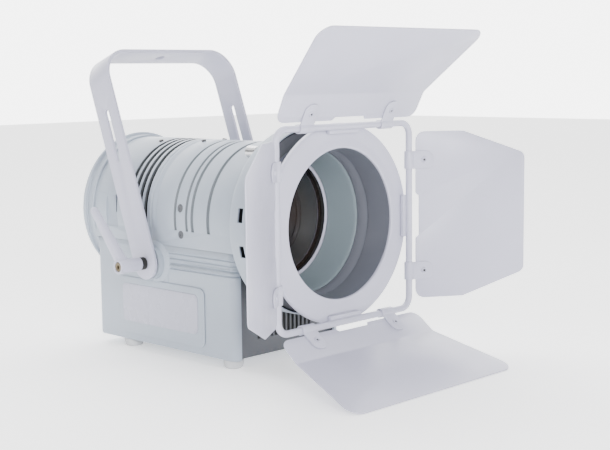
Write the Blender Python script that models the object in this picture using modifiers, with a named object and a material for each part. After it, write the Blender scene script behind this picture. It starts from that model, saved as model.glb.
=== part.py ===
"""LED stage spotlight with a focusing lens, a tilting yoke and a four-leaf rotating barndoor.

Everything is in metres with +Z up. The lens axis runs along Y and the light leaves towards -Y.
Stations along the axis are measured from the plane of the barndoor's wire frame, and heights
from the lens axis, so each group hangs from an empty that stands on its own reference point.
"""
import math

import bmesh
import bpy
from mathutils import Vector

# Where the lens frame stands in the part's own frame: the origin is under the middle, on the floor.
AXIS_HEIGHT = 0.1532
FRAME_PLANE_Y = -0.1094
GAP = 0.0003

# Barrel
BARREL_R = 0.081
WALL = 0.003
SKIRT_TOP = -0.014
SKIRT_BOTTOM = -0.030
NECK_START = 0.0703
NECK_END = 0.0965
SHELL_SPLIT = 0.216
REAR_SHELL_END = 0.3180
GROOVES = ((0.120, 0.0035), (0.1455, 0.0035), (0.1550, 0.0035), (0.1735, 0.0040))
GROOVE_DEPTH = 0.0018
VENT_START = 0.222
VENT_PITCH = 0.010
VENT_WIDTH = 0.0052
VENT_COUNT = 4
POCKET_FLOOR = 0.0788
POCKET_START = 0.276
POCKET_LENGTH = 0.020
REAR_CAP_R = 0.086
REAR_CAP_END = 0.336

# Base box under the barrel
BASE_HALF = 0.080
BASE_FRONT = 0.084
BASE_REAR = 0.318
BASE_BOTTOM = -0.1438
BASE_CORNER = 0.009
RIB_HEIGHTS = (-0.0378, -0.0432, -0.0488, -0.0543)
RIB_WIDTH = 0.0016
RIB_DEPTH = 0.0010
FRONT_RECESS = 0.008
FRONT_PANEL = 0.002
CONNECTOR_HEIGHT = -0.1120
CONNECTORS = (
    ("power_inlet", -0.045, 0.0119, 0.0145),
    ("data_input", -0.013, 0.0109, 0.0130),
    ("data_output", 0.019, 0.0109, 0.0130),
)
FOOT_R = 0.0109
FOOT_X = 0.067
FOOT_STATIONS = (0.101, 0.269)

# Lens and light engine
TUBE_WALL = 0.0020
TUBE_FRONT_R = 0.0752
TUBE_REAR_R = 0.0669
TUBE_REAR = 0.0897
BEZEL_R = 0.099
BEZEL_FRONT = 0.046
BEZEL_REAR = 0.070
BEZEL_WALL = 0.0018
ZOOM_HEIGHT = -0.0208
ZOOM_STATION = 0.0985
PLUNGER_SPOT = (-0.0530, 0.0740)
PLUNGER_PIN_R = 0.0024
LENS_R = 0.0650
LENS_STATION = 0.096
LENS_BULGE = 0.0110
LENS_TRAVEL = 0.055
CARRIAGE_R = 0.0740
GUIDE_ROD_R = 0.0025
GUIDE_ROD_OFFSET = 0.0702

# Yoke
PIVOT_STATION = 0.2106
PIVOT_HEIGHT = -0.0497
YOKE_TILT = math.radians(20.1)
YOKE_OUTER = 0.0958
YOKE_BAR = 0.0040
YOKE_WIDTH = 0.036
YOKE_LENGTH = 0.2410
YOKE_BEND_R = 0.032
BOSS_R = 0.021
LEVER_BACK = math.radians(32.0)
PIVOT_BORE_R = 0.0044
HANGING_HOLE_R = 0.0055

# Barndoor
ROD_HALF = 0.100
ROD_R = 0.0035
ROD_CORNER = 0.013
RING_FACE = 0.0067
RING_OUTER_R = 0.1034
RING_INNER_R = 0.0776
RING_TUBE_R = 0.0794
RING_END = 0.0530
TUBE_FRONT = RING_END + 0.0006
RING_BACK = 0.0085
PLATE_STATION = 0.0486
PLATE_R = 0.0955
PLATE_THICK = 0.0018
PLATE_PLAY = 0.0008
LEAF_THICK = 0.0012
LEAF_START = 0.0073
RECESS_DEPTH = 0.0036
RECESS_HALF = 0.0245
SIDE_KNEE = 0.0610
SIDE_LENGTH = 0.1315
SIDE_NEAR = 0.0903
SIDE_FAR = 0.0650
CREASE = 0.0370
CREASE_ANGLE = math.radians(21.0)
WIDE_NEAR = 0.0965
WIDE_CREASE = 0.1045
# Length and far half width of the bent panel on the two wide leaves.
WIDE_PANELS = {"leaf_top": (0.0920, 0.1235), "leaf_bottom": (0.0970, 0.1265)}
CLIP_OFFSET = 0.0600
CLIP_WIDTH = 0.0190
CLIP_REACH = 0.0270
CLIP_METAL = 0.0013

# The pose that the leaves stand in: degrees forward from the plane of the wire frame.
LEAVES = {
    "top": (0.0, 26.5),
    "right": (90.0, 34.0),
    "bottom": (180.0, 51.5),
    "left": (-90.0, 34.0),
}

SEGMENTS = 32

PAINT = ("light_paint", (0.66, 0.69, 0.72), 0.38, 0.0)
DARK_PAINT = ("shaded_grey_paint", (0.26, 0.27, 0.29), 0.5, 0.0)
BLACK = ("black_plastic", (0.02, 0.02, 0.022), 0.5, 0.0)
RUBBER = ("grey_rubber", (0.42, 0.43, 0.45), 0.85, 0.0)
GLASS = ("lens_glass", (0.03, 0.028, 0.027), 0.05, 0.0)
STEEL = ("bright_steel", (0.55, 0.55, 0.56), 0.3, 1.0)
FIN_METAL = ("dark_heat_sink", (0.07, 0.075, 0.08), 0.5, 0.6)
COB_YELLOW = ("led_phosphor", (0.75, 0.6, 0.15), 0.5, 0.0)
CIRCUIT = ("circuit_board", (0.03, 0.16, 0.06), 0.5, 0.0)


def clear_scene():
    for item in list(bpy.data.objects):
        bpy.data.objects.remove(item, do_unlink=True)


def make_collection(name):
    group = bpy.data.collections.new(name)
    bpy.context.scene.collection.children.link(group)
    return group


def material(spec):
    name, colour, roughness, metallic = spec
    found = bpy.data.materials.get(name)
    if found:
        return found
    made = bpy.data.materials.new(name)
    made.use_nodes = True
    shader = made.node_tree.nodes["Principled BSDF"]
    shader.inputs["Base Color"].default_value = (*colour, 1.0)
    shader.inputs["Roughness"].default_value = roughness
    shader.inputs["Metallic"].default_value = metallic
    made.diffuse_color = (*colour, 1.0)
    return made


def place(name, mesh, parent, spec=PAINT):
    item = bpy.data.objects.new(name, mesh)
    item.parent = parent
    PARTS.objects.link(item)
    item.data.materials.append(material(spec))
    return item


def empty(name, location, rotation=(0.0, 0.0, 0.0), parent=None):
    item = bpy.data.objects.new(name, None)
    item.location = location
    item.rotation_euler = rotation
    item.parent = parent
    item.empty_display_size = 0.02
    PARTS.objects.link(item)
    return item


def box(name, low, high, parent, spec=PAINT):
    """A box between two opposite corners."""
    shape = bmesh.new()
    bmesh.ops.create_cube(shape, size=1.0)
    low, high = Vector(low), Vector(high)
    for vert in shape.verts:
        for axis in range(3):
            middle = (low[axis] + high[axis]) / 2
            vert.co[axis] = middle + vert.co[axis] * (high[axis] - low[axis])
    mesh = bpy.data.meshes.new(name)
    shape.to_mesh(mesh)
    shape.free()
    return place(name, mesh, parent, spec)


def rod(name, radius, start, end, parent, spec=PAINT, segments=16, end_radius=None):
    """A cylinder or a cone between two points."""
    start, end = Vector(start), Vector(end)
    span = end - start
    shape = bmesh.new()
    far = radius if end_radius is None else end_radius
    bmesh.ops.create_cone(shape, cap_ends=True, segments=segments, radius1=radius,
                          radius2=far, depth=span.length)
    turn = Vector((0, 0, 1)).rotation_difference(span.normalized()).to_matrix()
    for vert in shape.verts:
        vert.co = turn @ vert.co + (start + end) / 2
    mesh = bpy.data.meshes.new(name)
    shape.to_mesh(mesh)
    shape.free()
    mesh.shade_smooth()
    mesh.set_sharp_from_angle(angle=math.radians(35))
    return place(name, mesh, parent, spec)


def turned(name, profile, parent, spec=PAINT, segments=SEGMENTS, closed=True):
    """A profile of (radius, station) points turned about the lens axis.

    The points run down the outer side, from the far station to the near one, and a closed
    ring goes back along its bore.
    """
    mesh = bpy.data.meshes.new(name)
    points = [(radius, 0.0, station) for radius, station in profile]
    edges = [(i, i + 1) for i in range(len(points) - 1)]
    if closed:
        edges.append((len(points) - 1, 0))
    mesh.from_pydata(points, edges, [])
    item = place(name, mesh, parent, spec)
    item.rotation_euler = (math.radians(-90), 0, 0)
    screw = item.modifiers.new("Turn", "SCREW")
    screw.steps = segments
    screw.render_steps = segments
    screw.use_merge_vertices = True
    screw.merge_threshold = 0.00002
    screw.use_smooth_shade = False
    return item


def ring(name, outer, inner, near, far, parent, spec=PAINT, segments=SEGMENTS):
    profile = [(outer, far), (outer, near), (inner, near), (inner, far)]
    return turned(name, profile, parent, spec, segments)


def arc(centre, radius, start, end, steps):
    """Points along an arc, angles in degrees."""
    points = []
    for i in range(steps + 1):
        angle = math.radians(start + (end - start) * i / steps)
        points.append((centre[0] + radius * math.cos(angle), centre[1] + radius * math.sin(angle)))
    return points


def rounded_outline(half_x, half_y, radius, steps=6, centre=(0.0, 0.0)):
    """A rectangle with round corners, anticlockwise."""
    points = []
    for turn, (sx, sy) in enumerate(((1, 1), (-1, 1), (-1, -1), (1, -1))):
        middle = (centre[0] + sx * (half_x - radius), centre[1] + sy * (half_y - radius))
        points += arc(middle, radius, 90 * turn, 90 * turn + 90, steps)
    return points


def flat_plate(name, outline, thickness, parent, spec=PAINT, holes=()):
    """A flat outline in XY, given its thickness along Z about the middle, as a mesh."""
    curve = bpy.data.curves.new(name + "_outline", "CURVE")
    curve.dimensions = "2D"
    curve.fill_mode = "BOTH"
    curve.extrude = thickness / 2
    for points in (outline, *holes):
        spline = curve.splines.new("POLY")
        spline.points.add(len(points) - 1)
        for point, (x, y) in zip(spline.points, points):
            point.co = (x, y, 0.0, 1.0)
        spline.use_cyclic_u = True
    holder = bpy.data.objects.new(name + "_outline", curve)
    CUTTERS.objects.link(holder)
    mesh = bpy.data.meshes.new_from_object(holder.evaluated_get(bpy.context.evaluated_depsgraph_get()))
    bpy.data.objects.remove(holder, do_unlink=True)
    shape = bmesh.new()
    shape.from_mesh(mesh)
    bmesh.ops.remove_doubles(shape, verts=shape.verts, dist=0.00002)
    bmesh.ops.recalc_face_normals(shape, faces=shape.faces)
    shape.to_mesh(mesh)
    shape.free()
    mesh.materials.clear()
    return place(name, mesh, parent, spec)


def tool(item):
    """Turn an object into a cutter or a guide: unrendered, drawn as wire, kept apart."""
    for group in item.users_collection:
        group.objects.unlink(item)
    CUTTERS.objects.link(item)
    item.hide_render = True
    item.display_type = "WIRE"
    return item


def combine(target, other, operation):
    tool(other)
    step = target.modifiers.new(other.name, "BOOLEAN")
    step.operation = operation
    step.solver = "EXACT"
    step.object = other
    return target


def cut(target, other):
    return combine(target, other, "DIFFERENCE")


def join(target, other):
    return combine(target, other, "UNION")


def keep(target, other):
    return combine(target, other, "INTERSECT")


def moved(item, location=None, rotation=None):
    if location is not None:
        item.location = location
    if rotation is not None:
        item.rotation_euler = rotation
    return item


# ---------------------------------------------------------------- barrel

def barrel_section(name, profile, near, far, open_below=True):
    """A turned barrel section with a straight skirt down each side, cut off level below if open."""
    shell = turned(name, profile, LENS)
    if open_below:
        reach = 0.12
        cut(shell, box(name + "_below", (-reach, near - 0.01, -reach), (reach, far + 0.01, SKIRT_TOP), LENS))
    for side in (-1, 1):
        x = sorted((side * (BASE_HALF - WALL), side * BASE_HALF))
        skirt = box(f"{name}_skirt_{side}", (x[0], near, SKIRT_BOTTOM), (x[1], far, SKIRT_TOP + 0.0015), LENS)
        join(shell, skirt)
    return shell


def cut_zoom_slot(shell):
    """The level slot in the right side that the stem of the focus knob runs in."""
    far = ZOOM_STATION + LENS_TRAVEL + 0.0070
    slot = box("zoom_slot", (BASE_HALF - 0.01, ZOOM_STATION - 0.0060, ZOOM_HEIGHT - 0.0033),
               (BASE_HALF + 0.01, far, ZOOM_HEIGHT + 0.0033), LENS)
    return cut(shell, slot)


def barrel_neck():
    """The full round front end of the barrel, ahead of the base."""
    inner = BARREL_R - WALL
    profile = [(BARREL_R, NECK_END), (BARREL_R, NECK_START), (inner, NECK_START), (inner, NECK_END)]
    return cut_zoom_slot(barrel_section("barrel_neck", profile, NECK_START, NECK_END, open_below=False))


def front_shell():
    """The smooth front section, arched over the base, with its turned grooves."""
    near, far = NECK_END + GAP, SHELL_SPLIT - GAP
    inner = BARREL_R - WALL
    profile = [(BARREL_R, far)]
    for station, width in reversed(GROOVES):
        floor = BARREL_R - GROOVE_DEPTH
        profile += [(BARREL_R, station + width), (floor, station + width * 0.75)]
        profile += [(floor, station + width * 0.25), (BARREL_R, station)]
    profile += [(BARREL_R, near), (inner, near), (inner, far)]
    return cut_zoom_slot(barrel_section("front_shell", profile, near, far))


def rear_shell():
    """The rear section: ventilation slots round the heat sink, and a grip pocket each side."""
    far = REAR_SHELL_END - GAP
    inner = BARREL_R - WALL
    profile = [(BARREL_R, far), (BARREL_R, SHELL_SPLIT), (inner, SHELL_SPLIT), (inner, far)]
    shell = barrel_section("rear_shell", profile, SHELL_SPLIT, far)
    for i in range(VENT_COUNT):
        start = VENT_START + i * VENT_PITCH
        slot = box(f"vent_{i}", (-0.1, start, SKIRT_TOP + 0.002), (0.1, start + VENT_WIDTH, 0.1), LENS)
        cut(shell, slot)
    for side in (-1, 1):
        x = sorted((side * POCKET_FLOOR, side * 0.0950))
        pocket = box(f"pocket_{side}", (x[0], POCKET_START, -0.0160),
                     (x[1], POCKET_START + POCKET_LENGTH, 0.0220), LENS)
        cut(shell, pocket)
        slot_start = POCKET_START + 0.0010
        slot = box(f"pocket_slot_{side}", (x[0] - 0.01, slot_start, 0.0),
                   (x[1] + 0.01, slot_start + 0.0035, 0.0200), LENS)
        cut(shell, slot)
    return shell


def rear_cover():
    """The stepped end cap, closed behind."""
    step = REAR_SHELL_END + 0.011
    profile = [
        (0.0, REAR_CAP_END), (REAR_CAP_R - 0.006, REAR_CAP_END), (REAR_CAP_R - 0.001, REAR_CAP_END - 0.0020),
        (REAR_CAP_R, REAR_CAP_END - 0.0045), (REAR_CAP_R, step + 0.0012), (REAR_CAP_R - 0.0022, step),
        (REAR_CAP_R - 0.0030, step - 0.0008), (REAR_CAP_R - 0.0030, REAR_SHELL_END + GAP),
        (REAR_CAP_R - 0.0080, REAR_SHELL_END + GAP), (REAR_CAP_R - 0.0080, REAR_CAP_END - 0.0040),
        (0.0, REAR_CAP_END - 0.0040),
    ]
    return turned("rear_cover", profile, LENS, closed=False)


def tube_radius(station):
    """Bore of the tapered lens tube at a station."""
    along = (station - TUBE_FRONT) / (TUBE_REAR - TUBE_FRONT)
    return TUBE_FRONT_R + (TUBE_REAR_R - TUBE_FRONT_R) * along


def lens_tube():
    """The tapered tube that leads in from the barndoor's ring to the lens."""
    profile = [(TUBE_REAR_R + TUBE_WALL, TUBE_REAR), (TUBE_FRONT_R + TUBE_WALL, TUBE_FRONT)]
    profile += [(TUBE_FRONT_R, TUBE_FRONT), (TUBE_REAR_R, TUBE_REAR)]
    return turned("lens_tube", profile, LENS)


def front_bezel():
    """The round tray on the front of the barrel, with a hole for the lens tube."""
    floor = BEZEL_REAR - BEZEL_WALL
    hole = tube_radius(floor) + TUBE_WALL + GAP
    profile = [
        (BEZEL_R - 0.0015, BEZEL_REAR), (BEZEL_R, BEZEL_REAR - 0.0015), (BEZEL_R, BEZEL_FRONT + 0.0008),
        (BEZEL_R - 0.0006, BEZEL_FRONT), (BEZEL_R - BEZEL_WALL, BEZEL_FRONT), (BEZEL_R - BEZEL_WALL, floor),
        (hole, floor), (hole, BEZEL_REAR),
    ]
    bezel = turned("front_bezel", profile, LENS)
    for side in (-1, 1):
        for low, high in ((0.0065, 0.0210), (-0.0290, -0.0170)):
            x = sorted((side * 0.0900, side * 0.1050))
            notch = box(f"bezel_notch_{side}_{high}", (x[0], 0.0500, low), (x[1], 0.0570, high), LENS)
            cut(bezel, notch)
    bracket = PLATE_STATION + PLATE_THICK + 0.0005
    for i, angle in enumerate((70, 190, 310)):
        turn = math.radians(angle)
        post = box(f"plate_seat_{i}", (-0.0080, bracket, 0.0890), (0.0080, bracket + 0.0016, 0.0978), LENS)
        post.rotation_euler = (0.0, turn, 0.0)
        join(bezel, post)
        lip = box(f"plate_lip_{i}", (-0.0080, PLATE_STATION - 0.0021, 0.0925),
                  (0.0080, PLATE_STATION - 0.0005, 0.0978), LENS)
        lip.rotation_euler = (0.0, turn, 0.0)
        join(bezel, lip)
    hole = rod("plunger_hole", PLUNGER_PIN_R + GAP, (PLUNGER_SPOT[0], 0.060, PLUNGER_SPOT[1]),
               (PLUNGER_SPOT[0], 0.075, PLUNGER_SPOT[1]), LENS)
    cut(bezel, hole)
    return bezel


# ---------------------------------------------------------------- base

def base_loop(inset, height):
    middle = (BASE_FRONT + BASE_REAR) / 2
    half = (BASE_REAR - BASE_FRONT) / 2
    radius = max(BASE_CORNER - inset, 0.001)
    outline = rounded_outline(BASE_HALF - inset, half - inset, radius, steps=3, centre=(0.0, middle))
    return [(x, y, height) for x, y in outline]


def base_housing():
    """The box under the barrel: a lofted wall with four fine grooves, open above and below."""
    top = SKIRT_BOTTOM - GAP
    outer = [(0.0, top)]
    for height in RIB_HEIGHTS:
        outer += [(0.0, height + RIB_WIDTH / 2), (RIB_DEPTH, height), (0.0, height - RIB_WIDTH / 2)]
    outer += [(0.0, BASE_BOTTOM + 0.0030), (0.0012, BASE_BOTTOM)]
    levels = outer + [(WALL, BASE_BOTTOM), (WALL, top)]
    shape = bmesh.new()
    loops = [[shape.verts.new(point) for point in base_loop(*level)] for level in levels]
    loops.append(loops[0])
    for upper, lower in zip(loops, loops[1:]):
        count = len(upper)
        for i in range(count):
            j = (i + 1) % count
            shape.faces.new((upper[i], lower[i], lower[j], upper[j]))
    bmesh.ops.recalc_face_normals(shape, faces=shape.faces)
    mesh = bpy.data.meshes.new("base_housing")
    shape.to_mesh(mesh)
    shape.free()
    housing = place("base_housing", mesh, LENS)
    cut(housing, box("front_window", (-0.0705, BASE_FRONT - 0.01, BASE_BOTTOM - 0.001),
                     (0.0705, BASE_FRONT + 0.006, -0.010), LENS))
    cut(housing, rod("neck_clearance", BARREL_R + GAP, (0, BASE_FRONT - 0.01, 0), (0, BASE_FRONT + 0.006, 0),
                     LENS, segments=SEGMENTS))
    for side in (-1, 1):
        start = (side * (BASE_HALF - 0.002), PIVOT_STATION, PIVOT_HEIGHT)
        end = (side * 0.0900, PIVOT_STATION, PIVOT_HEIGHT)
        join(housing, rod(f"boss_{side}", BOSS_R - 0.0018, start, end, LENS))
        drill = rod(f"boss_bore_{side}", PIVOT_BORE_R, (side * 0.070, PIVOT_STATION, PIVOT_HEIGHT),
                    (side * 0.1, PIVOT_STATION, PIVOT_HEIGHT), LENS)
        cut(housing, drill)
    for name, x, radius, _ in CONNECTORS:
        port = rod(name + "_port", radius + GAP, (x, BASE_REAR - 0.01, CONNECTOR_HEIGHT),
                   (x, BASE_REAR + 0.01, CONNECTOR_HEIGHT), LENS)
        cut(housing, port)
    return housing


def front_panel():
    """The recessed front panel, arched under the neck, with its row of upright slots."""
    near = BASE_FRONT + FRONT_RECESS
    reach = BASE_HALF - WALL - GAP
    panel = box("base_front_panel", (-reach, near, BASE_BOTTOM + 0.0002), (reach, near + FRONT_PANEL, -0.0450),
                LENS, DARK_PAINT)
    cut(panel, rod("panel_arch", BARREL_R + GAP, (0, near - 0.01, 0), (0, near + 0.01, 0), LENS,
                   segments=SEGMENTS))
    count = 13
    pitch = 0.0064
    for i in range(count):
        x = (i - (count - 1) / 2) * pitch
        slot = box(f"grille_slot_{i}", (x - 0.0020, near - 0.01, -0.1260),
                   (x + 0.0020, near + 0.01, -0.1020), LENS)
        cut(panel, slot)
    return panel


def base_plate():
    """The bottom, between the front panel and the rear wall."""
    inset = WALL + GAP
    near = BASE_FRONT + FRONT_RECESS + FRONT_PANEL + GAP
    far = BASE_REAR - inset
    middle, half = (near + far) / 2, (far - near) / 2
    outline = rounded_outline(BASE_HALF - inset, half, BASE_CORNER - WALL, steps=4, centre=(0.0, middle))
    plate = flat_plate("base_plate", outline, 0.0016, LENS)
    plate.location = (0.0, 0.0, BASE_BOTTOM + 0.0010)
    return plate


def feet():
    top = BASE_BOTTOM + 0.0010 - 0.0008 - GAP
    for end, station in zip(("front", "rear"), FOOT_STATIONS):
        for side, x in (("left", -FOOT_X), ("right", FOOT_X)):
            rod(f"foot_{end}_{side}", FOOT_R - 0.001, (x, station, -AXIS_HEIGHT), (x, station, top), LENS,
                RUBBER, segments=20, end_radius=FOOT_R)


def side_panel(name, side):
    """The raised panel on a side of the base, with a blank label plate standing on it."""
    station = (0.1300, 0.2750)
    height = (-0.1353, -0.0710)
    middle = ((station[0] + station[1]) / 2, (height[0] + height[1]) / 2)
    outline = rounded_outline((station[1] - station[0]) / 2, (height[1] - height[0]) / 2, 0.008, steps=5)
    panel = flat_plate(name, outline, 0.0012, LENS)
    x = side * (BASE_HALF + GAP + 0.0006)
    turn = (math.radians(90), 0, math.radians(90))
    moved(panel, (x, *middle), turn)
    label = flat_plate(name + "_label", rounded_outline(0.0640, 0.0215, 0.006, steps=5), 0.0012, LENS)
    moved(label, (x + side * 0.0007, 0.2040, -0.1000), turn)
    join(panel, label)
    return panel


# ---------------------------------------------------------------- rear fittings

def rear_fittings():
    face = REAR_CAP_END + GAP
    outline = rounded_outline(0.050, 0.036, 0.006, steps=4)
    panel = flat_plate("control_panel", outline, 0.0020, LENS, DARK_PAINT)
    moved(panel, (0.0, face + 0.0010, 0.012), (math.radians(90), 0, 0))
    for i in range(4):
        x = (i - 1.5) * 0.018
        hole = rod(f"button_hole_{i}", 0.0047, (x, face - 0.01, -0.006), (x, face + 0.01, -0.006), LENS)
        cut(panel, hole)
        rod(f"menu_button_{i + 1}", 0.0043, (x, face + 0.0018, -0.006), (x, face + 0.0042, -0.006), LENS, BLACK,
            segments=16)
    outer = face + 0.0020
    box("display_window", (-0.0260, outer + GAP, 0.0130), (0.0260, outer + 0.0012, 0.0330), LENS, BLACK)
    wall = BASE_REAR + GAP
    for name, x, radius, flange in CONNECTORS:
        plate = flat_plate(name, rounded_outline(flange, flange, 0.002, steps=2), 0.0020, LENS, BLACK)
        moved(plate, (x, wall + 0.0010, CONNECTOR_HEIGHT), (math.radians(90), 0, 0))
        join(plate, rod(name + "_body", radius, (x, BASE_REAR - 0.020, CONNECTOR_HEIGHT),
                        (x, wall + 0.0015, CONNECTOR_HEIGHT), LENS))
        cut(plate, rod(name + "_socket", radius - 0.0035, (x, BASE_REAR - 0.012, CONNECTOR_HEIGHT),
                       (x, wall + 0.01, CONNECTOR_HEIGHT), LENS))


# ---------------------------------------------------------------- light engine

def light_engine():
    """Heat sink with annular fins, LED module, driver, control board and fan."""
    core, fin = 0.036, 0.0735
    near, far = 0.2180, 0.2640
    profile = [(0.0, far), (fin, far)]
    station = far
    fins = 5
    thick, pitch = 0.0040, (far - near - 0.0040) / (fins - 1)
    for i in range(fins):
        edge = far - i * pitch
        if i:
            profile += [(core, edge), (fin, edge)]
        profile.append((fin, edge - thick))
        if i < fins - 1:
            profile.append((core, edge - thick))
        station = edge - thick
    profile.append((0.0, station))
    turned("heat_sink", profile, LENS, FIN_METAL, segments=20, closed=False)
    module = rod("led_module", 0.030, (0, near - 0.0045, 0), (0, near - GAP, 0), LENS, CIRCUIT, segments=32)
    join(module, rod("led_emitter", 0.013, (0, near - 0.0068, 0), (0, near - 0.0030, 0), LENS, COB_YELLOW))
    box("driver_unit", (-0.045, 0.125, -0.1395), (0.045, 0.250, -0.0990), LENS, STEEL)
    box("control_board", (-0.055, 0.2660, -0.137), (0.060, 0.2680, -0.078), LENS, CIRCUIT)
    fan_near, fan_far = 0.2680, 0.2830
    frame = box("fan_frame", (-0.040, fan_near, -0.040), (0.040, fan_far, 0.040), LENS, BLACK)
    cut(frame, rod("fan_bore", 0.0380, (0, fan_near - 0.01, 0), (0, fan_far + 0.01, 0), LENS, segments=32))
    join(frame, box("fan_strut", (-0.0390, fan_far - 0.0035, -0.003), (0.0390, fan_far, 0.003), LENS))
    hub = empty("fan_axis", (0.0, 0.0, 0.0), parent=LENS)
    rotor = rod("fan_rotor", 0.0150, (0, fan_near + 0.001, 0), (0, fan_far - 0.0045, 0), hub, BLACK)
    for i in range(7):
        blade = box(f"blade_{i}", (0.010, -0.0012, -0.006), (0.0362, 0.0012, 0.006), hub)
        middle = (fan_near + fan_far - 0.0035) / 2
        turn = 2 * math.pi * i / 7
        blade.location = (0.0, middle, 0.0)
        blade.rotation_euler = (math.radians(42), turn, 0.0)
        join(rotor, blade)


def lens_group():
    """The carriage that slides on two guide rods, with the lens, its retaining ring and the knob."""
    near = LENS_STATION - 0.0040
    far = near + 0.0100
    slide = empty("lens_slide", (0.0, 0.0, 0.0), parent=LENS)
    carriage = ring("lens_carriage", CARRIAGE_R, LENS_R + GAP, near, far, slide, BLACK)
    for name, side in (("left", -1), ("right", 1)):
        x = side * GUIDE_ROD_OFFSET
        cut(carriage, rod(f"guide_hole_{name}", GUIDE_ROD_R + GAP, (x, near - 0.01, 0), (x, far + 0.01, 0), slide))
        rod(f"guide_rod_{name}", GUIDE_ROD_R, (x, near - 0.0015, 0), (x, 0.2176, 0), LENS, STEEL, segments=14)
    join(carriage, rod("zoom_stem", 0.0026, (0.0690, ZOOM_STATION, ZOOM_HEIGHT),
                       (0.0846, ZOOM_STATION, ZOOM_HEIGHT), slide, segments=14))
    profile = [(0.0, LENS_STATION + 0.0055), (LENS_R, LENS_STATION + 0.0055), (LENS_R, LENS_STATION)]
    steps = 4
    for i in range(1, steps):
        radius = LENS_R * (1 - i / steps)
        profile.append((radius, LENS_STATION - LENS_BULGE * (1 - (radius / LENS_R) ** 2)))
    profile.append((0.0, LENS_STATION - LENS_BULGE))
    turned("lens", profile, slide, GLASS, closed=False)
    front = near - GAP
    hold = ring("lens_retainer", CARRIAGE_R - 0.0015, LENS_R - 0.0005, front - 0.0016, front, slide, PAINT)
    for name, side in (("left", -1), ("right", 1)):
        x = side * GUIDE_ROD_OFFSET
        cut(hold, rod(f"retainer_hole_{name}", GUIDE_ROD_R + GAP, (x, near - 0.01, 0), (x, far, 0), slide,
                      segments=16))
    grip = empty("zoom_knob_axis", (0.0, ZOOM_STATION, ZOOM_HEIGHT), parent=slide)
    knob = rod("zoom_knob", 0.0080, (BASE_HALF + 0.0012, 0, 0), (0.0905, 0, 0), grip, BLACK, segments=20,
               end_radius=0.0072)
    cut(knob, rod("knob_bore", 0.0029, (BASE_HALF - 0.005, 0, 0), (0.0850, 0, 0), grip, segments=16))


# ---------------------------------------------------------------- accessory catch

def accessory_plunger():
    """The sprung pin behind the tray: it locks the barndoor's plate and pulls back to free it."""
    x, z = PLUNGER_SPOT
    pin = rod("accessory_plunger", PLUNGER_PIN_R, (x, PLATE_STATION + 0.0003, z), (x, 0.0860, z), LENS, STEEL,
              segments=16)
    join(pin, rod("plunger_grip", 0.0058, (x, 0.0730, z), (x, 0.0865, z), LENS, segments=16, end_radius=0.0064))
    return pin


# ---------------------------------------------------------------- barndoor

def barndoor_plate():
    """The disc that sits in the tray and carries the turning ring."""
    hole = arc((0, 0), RING_TUBE_R + PLATE_PLAY, 0, 360 - 360 / SEGMENTS, SEGMENTS - 1)
    edge = arc((0, 0), PLATE_R, 0, 360 - 360 / SEGMENTS, SEGMENTS - 1)
    plate = flat_plate("barndoor_plate", edge, PLATE_THICK, LENS, DARK_PAINT, holes=(hole,))
    moved(plate, (0.0, PLATE_STATION + PLATE_THICK / 2, 0.0), (math.radians(90), 0, 0))
    x, z = PLUNGER_SPOT
    cut(plate, rod("plunger_seat", PLUNGER_PIN_R + GAP, (x, PLATE_STATION - 0.01, z),
                   (x, PLATE_STATION + 0.01, z), LENS))
    return plate


def barndoor_ring():
    """The flat face of the turning ring: a low bead round the bore and a short rolled rim."""
    bore, rim, face, back = RING_INNER_R, RING_OUTER_R, RING_FACE, RING_BACK
    profile = [
        (rim, face + 0.0065), (rim, face + 0.0012), (rim - 0.0010, face), (bore + 0.0090, face),
        (bore + 0.0050, face - 0.0008), (bore + 0.0012, face - 0.0009), (bore, face - 0.0003), (bore, back),
        (rim - 0.0018, back), (rim - 0.0018, face + 0.0065),
    ]
    return turned("barndoor_ring", profile, TURNTABLE)


def barndoor_tube():
    """The tube behind the face: two lips that hold it in the plate, and a rolled end inside."""
    tube, bore, near = RING_TUBE_R, RING_INNER_R, RING_BACK + GAP
    lip = tube + 0.0026
    plate_rear = PLATE_STATION + PLATE_THICK + GAP
    profile = [
        (lip, RING_END), (lip, plate_rear), (tube, plate_rear), (tube, PLATE_STATION - GAP),
        (lip, PLATE_STATION - GAP), (lip, PLATE_STATION - 0.0015), (tube, PLATE_STATION - 0.0015),
        (tube, near + 0.0030), (tube + 0.0015, near), (bore, near), (bore, 0.0385), (bore + 0.0008, 0.0388),
        (bore + 0.0008, 0.0400), (bore - 0.0006, 0.0450), (bore - 0.0016, 0.0495), (bore - 0.0019, RING_END),
    ]
    return turned("barndoor_tube", profile, TURNTABLE)


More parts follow.
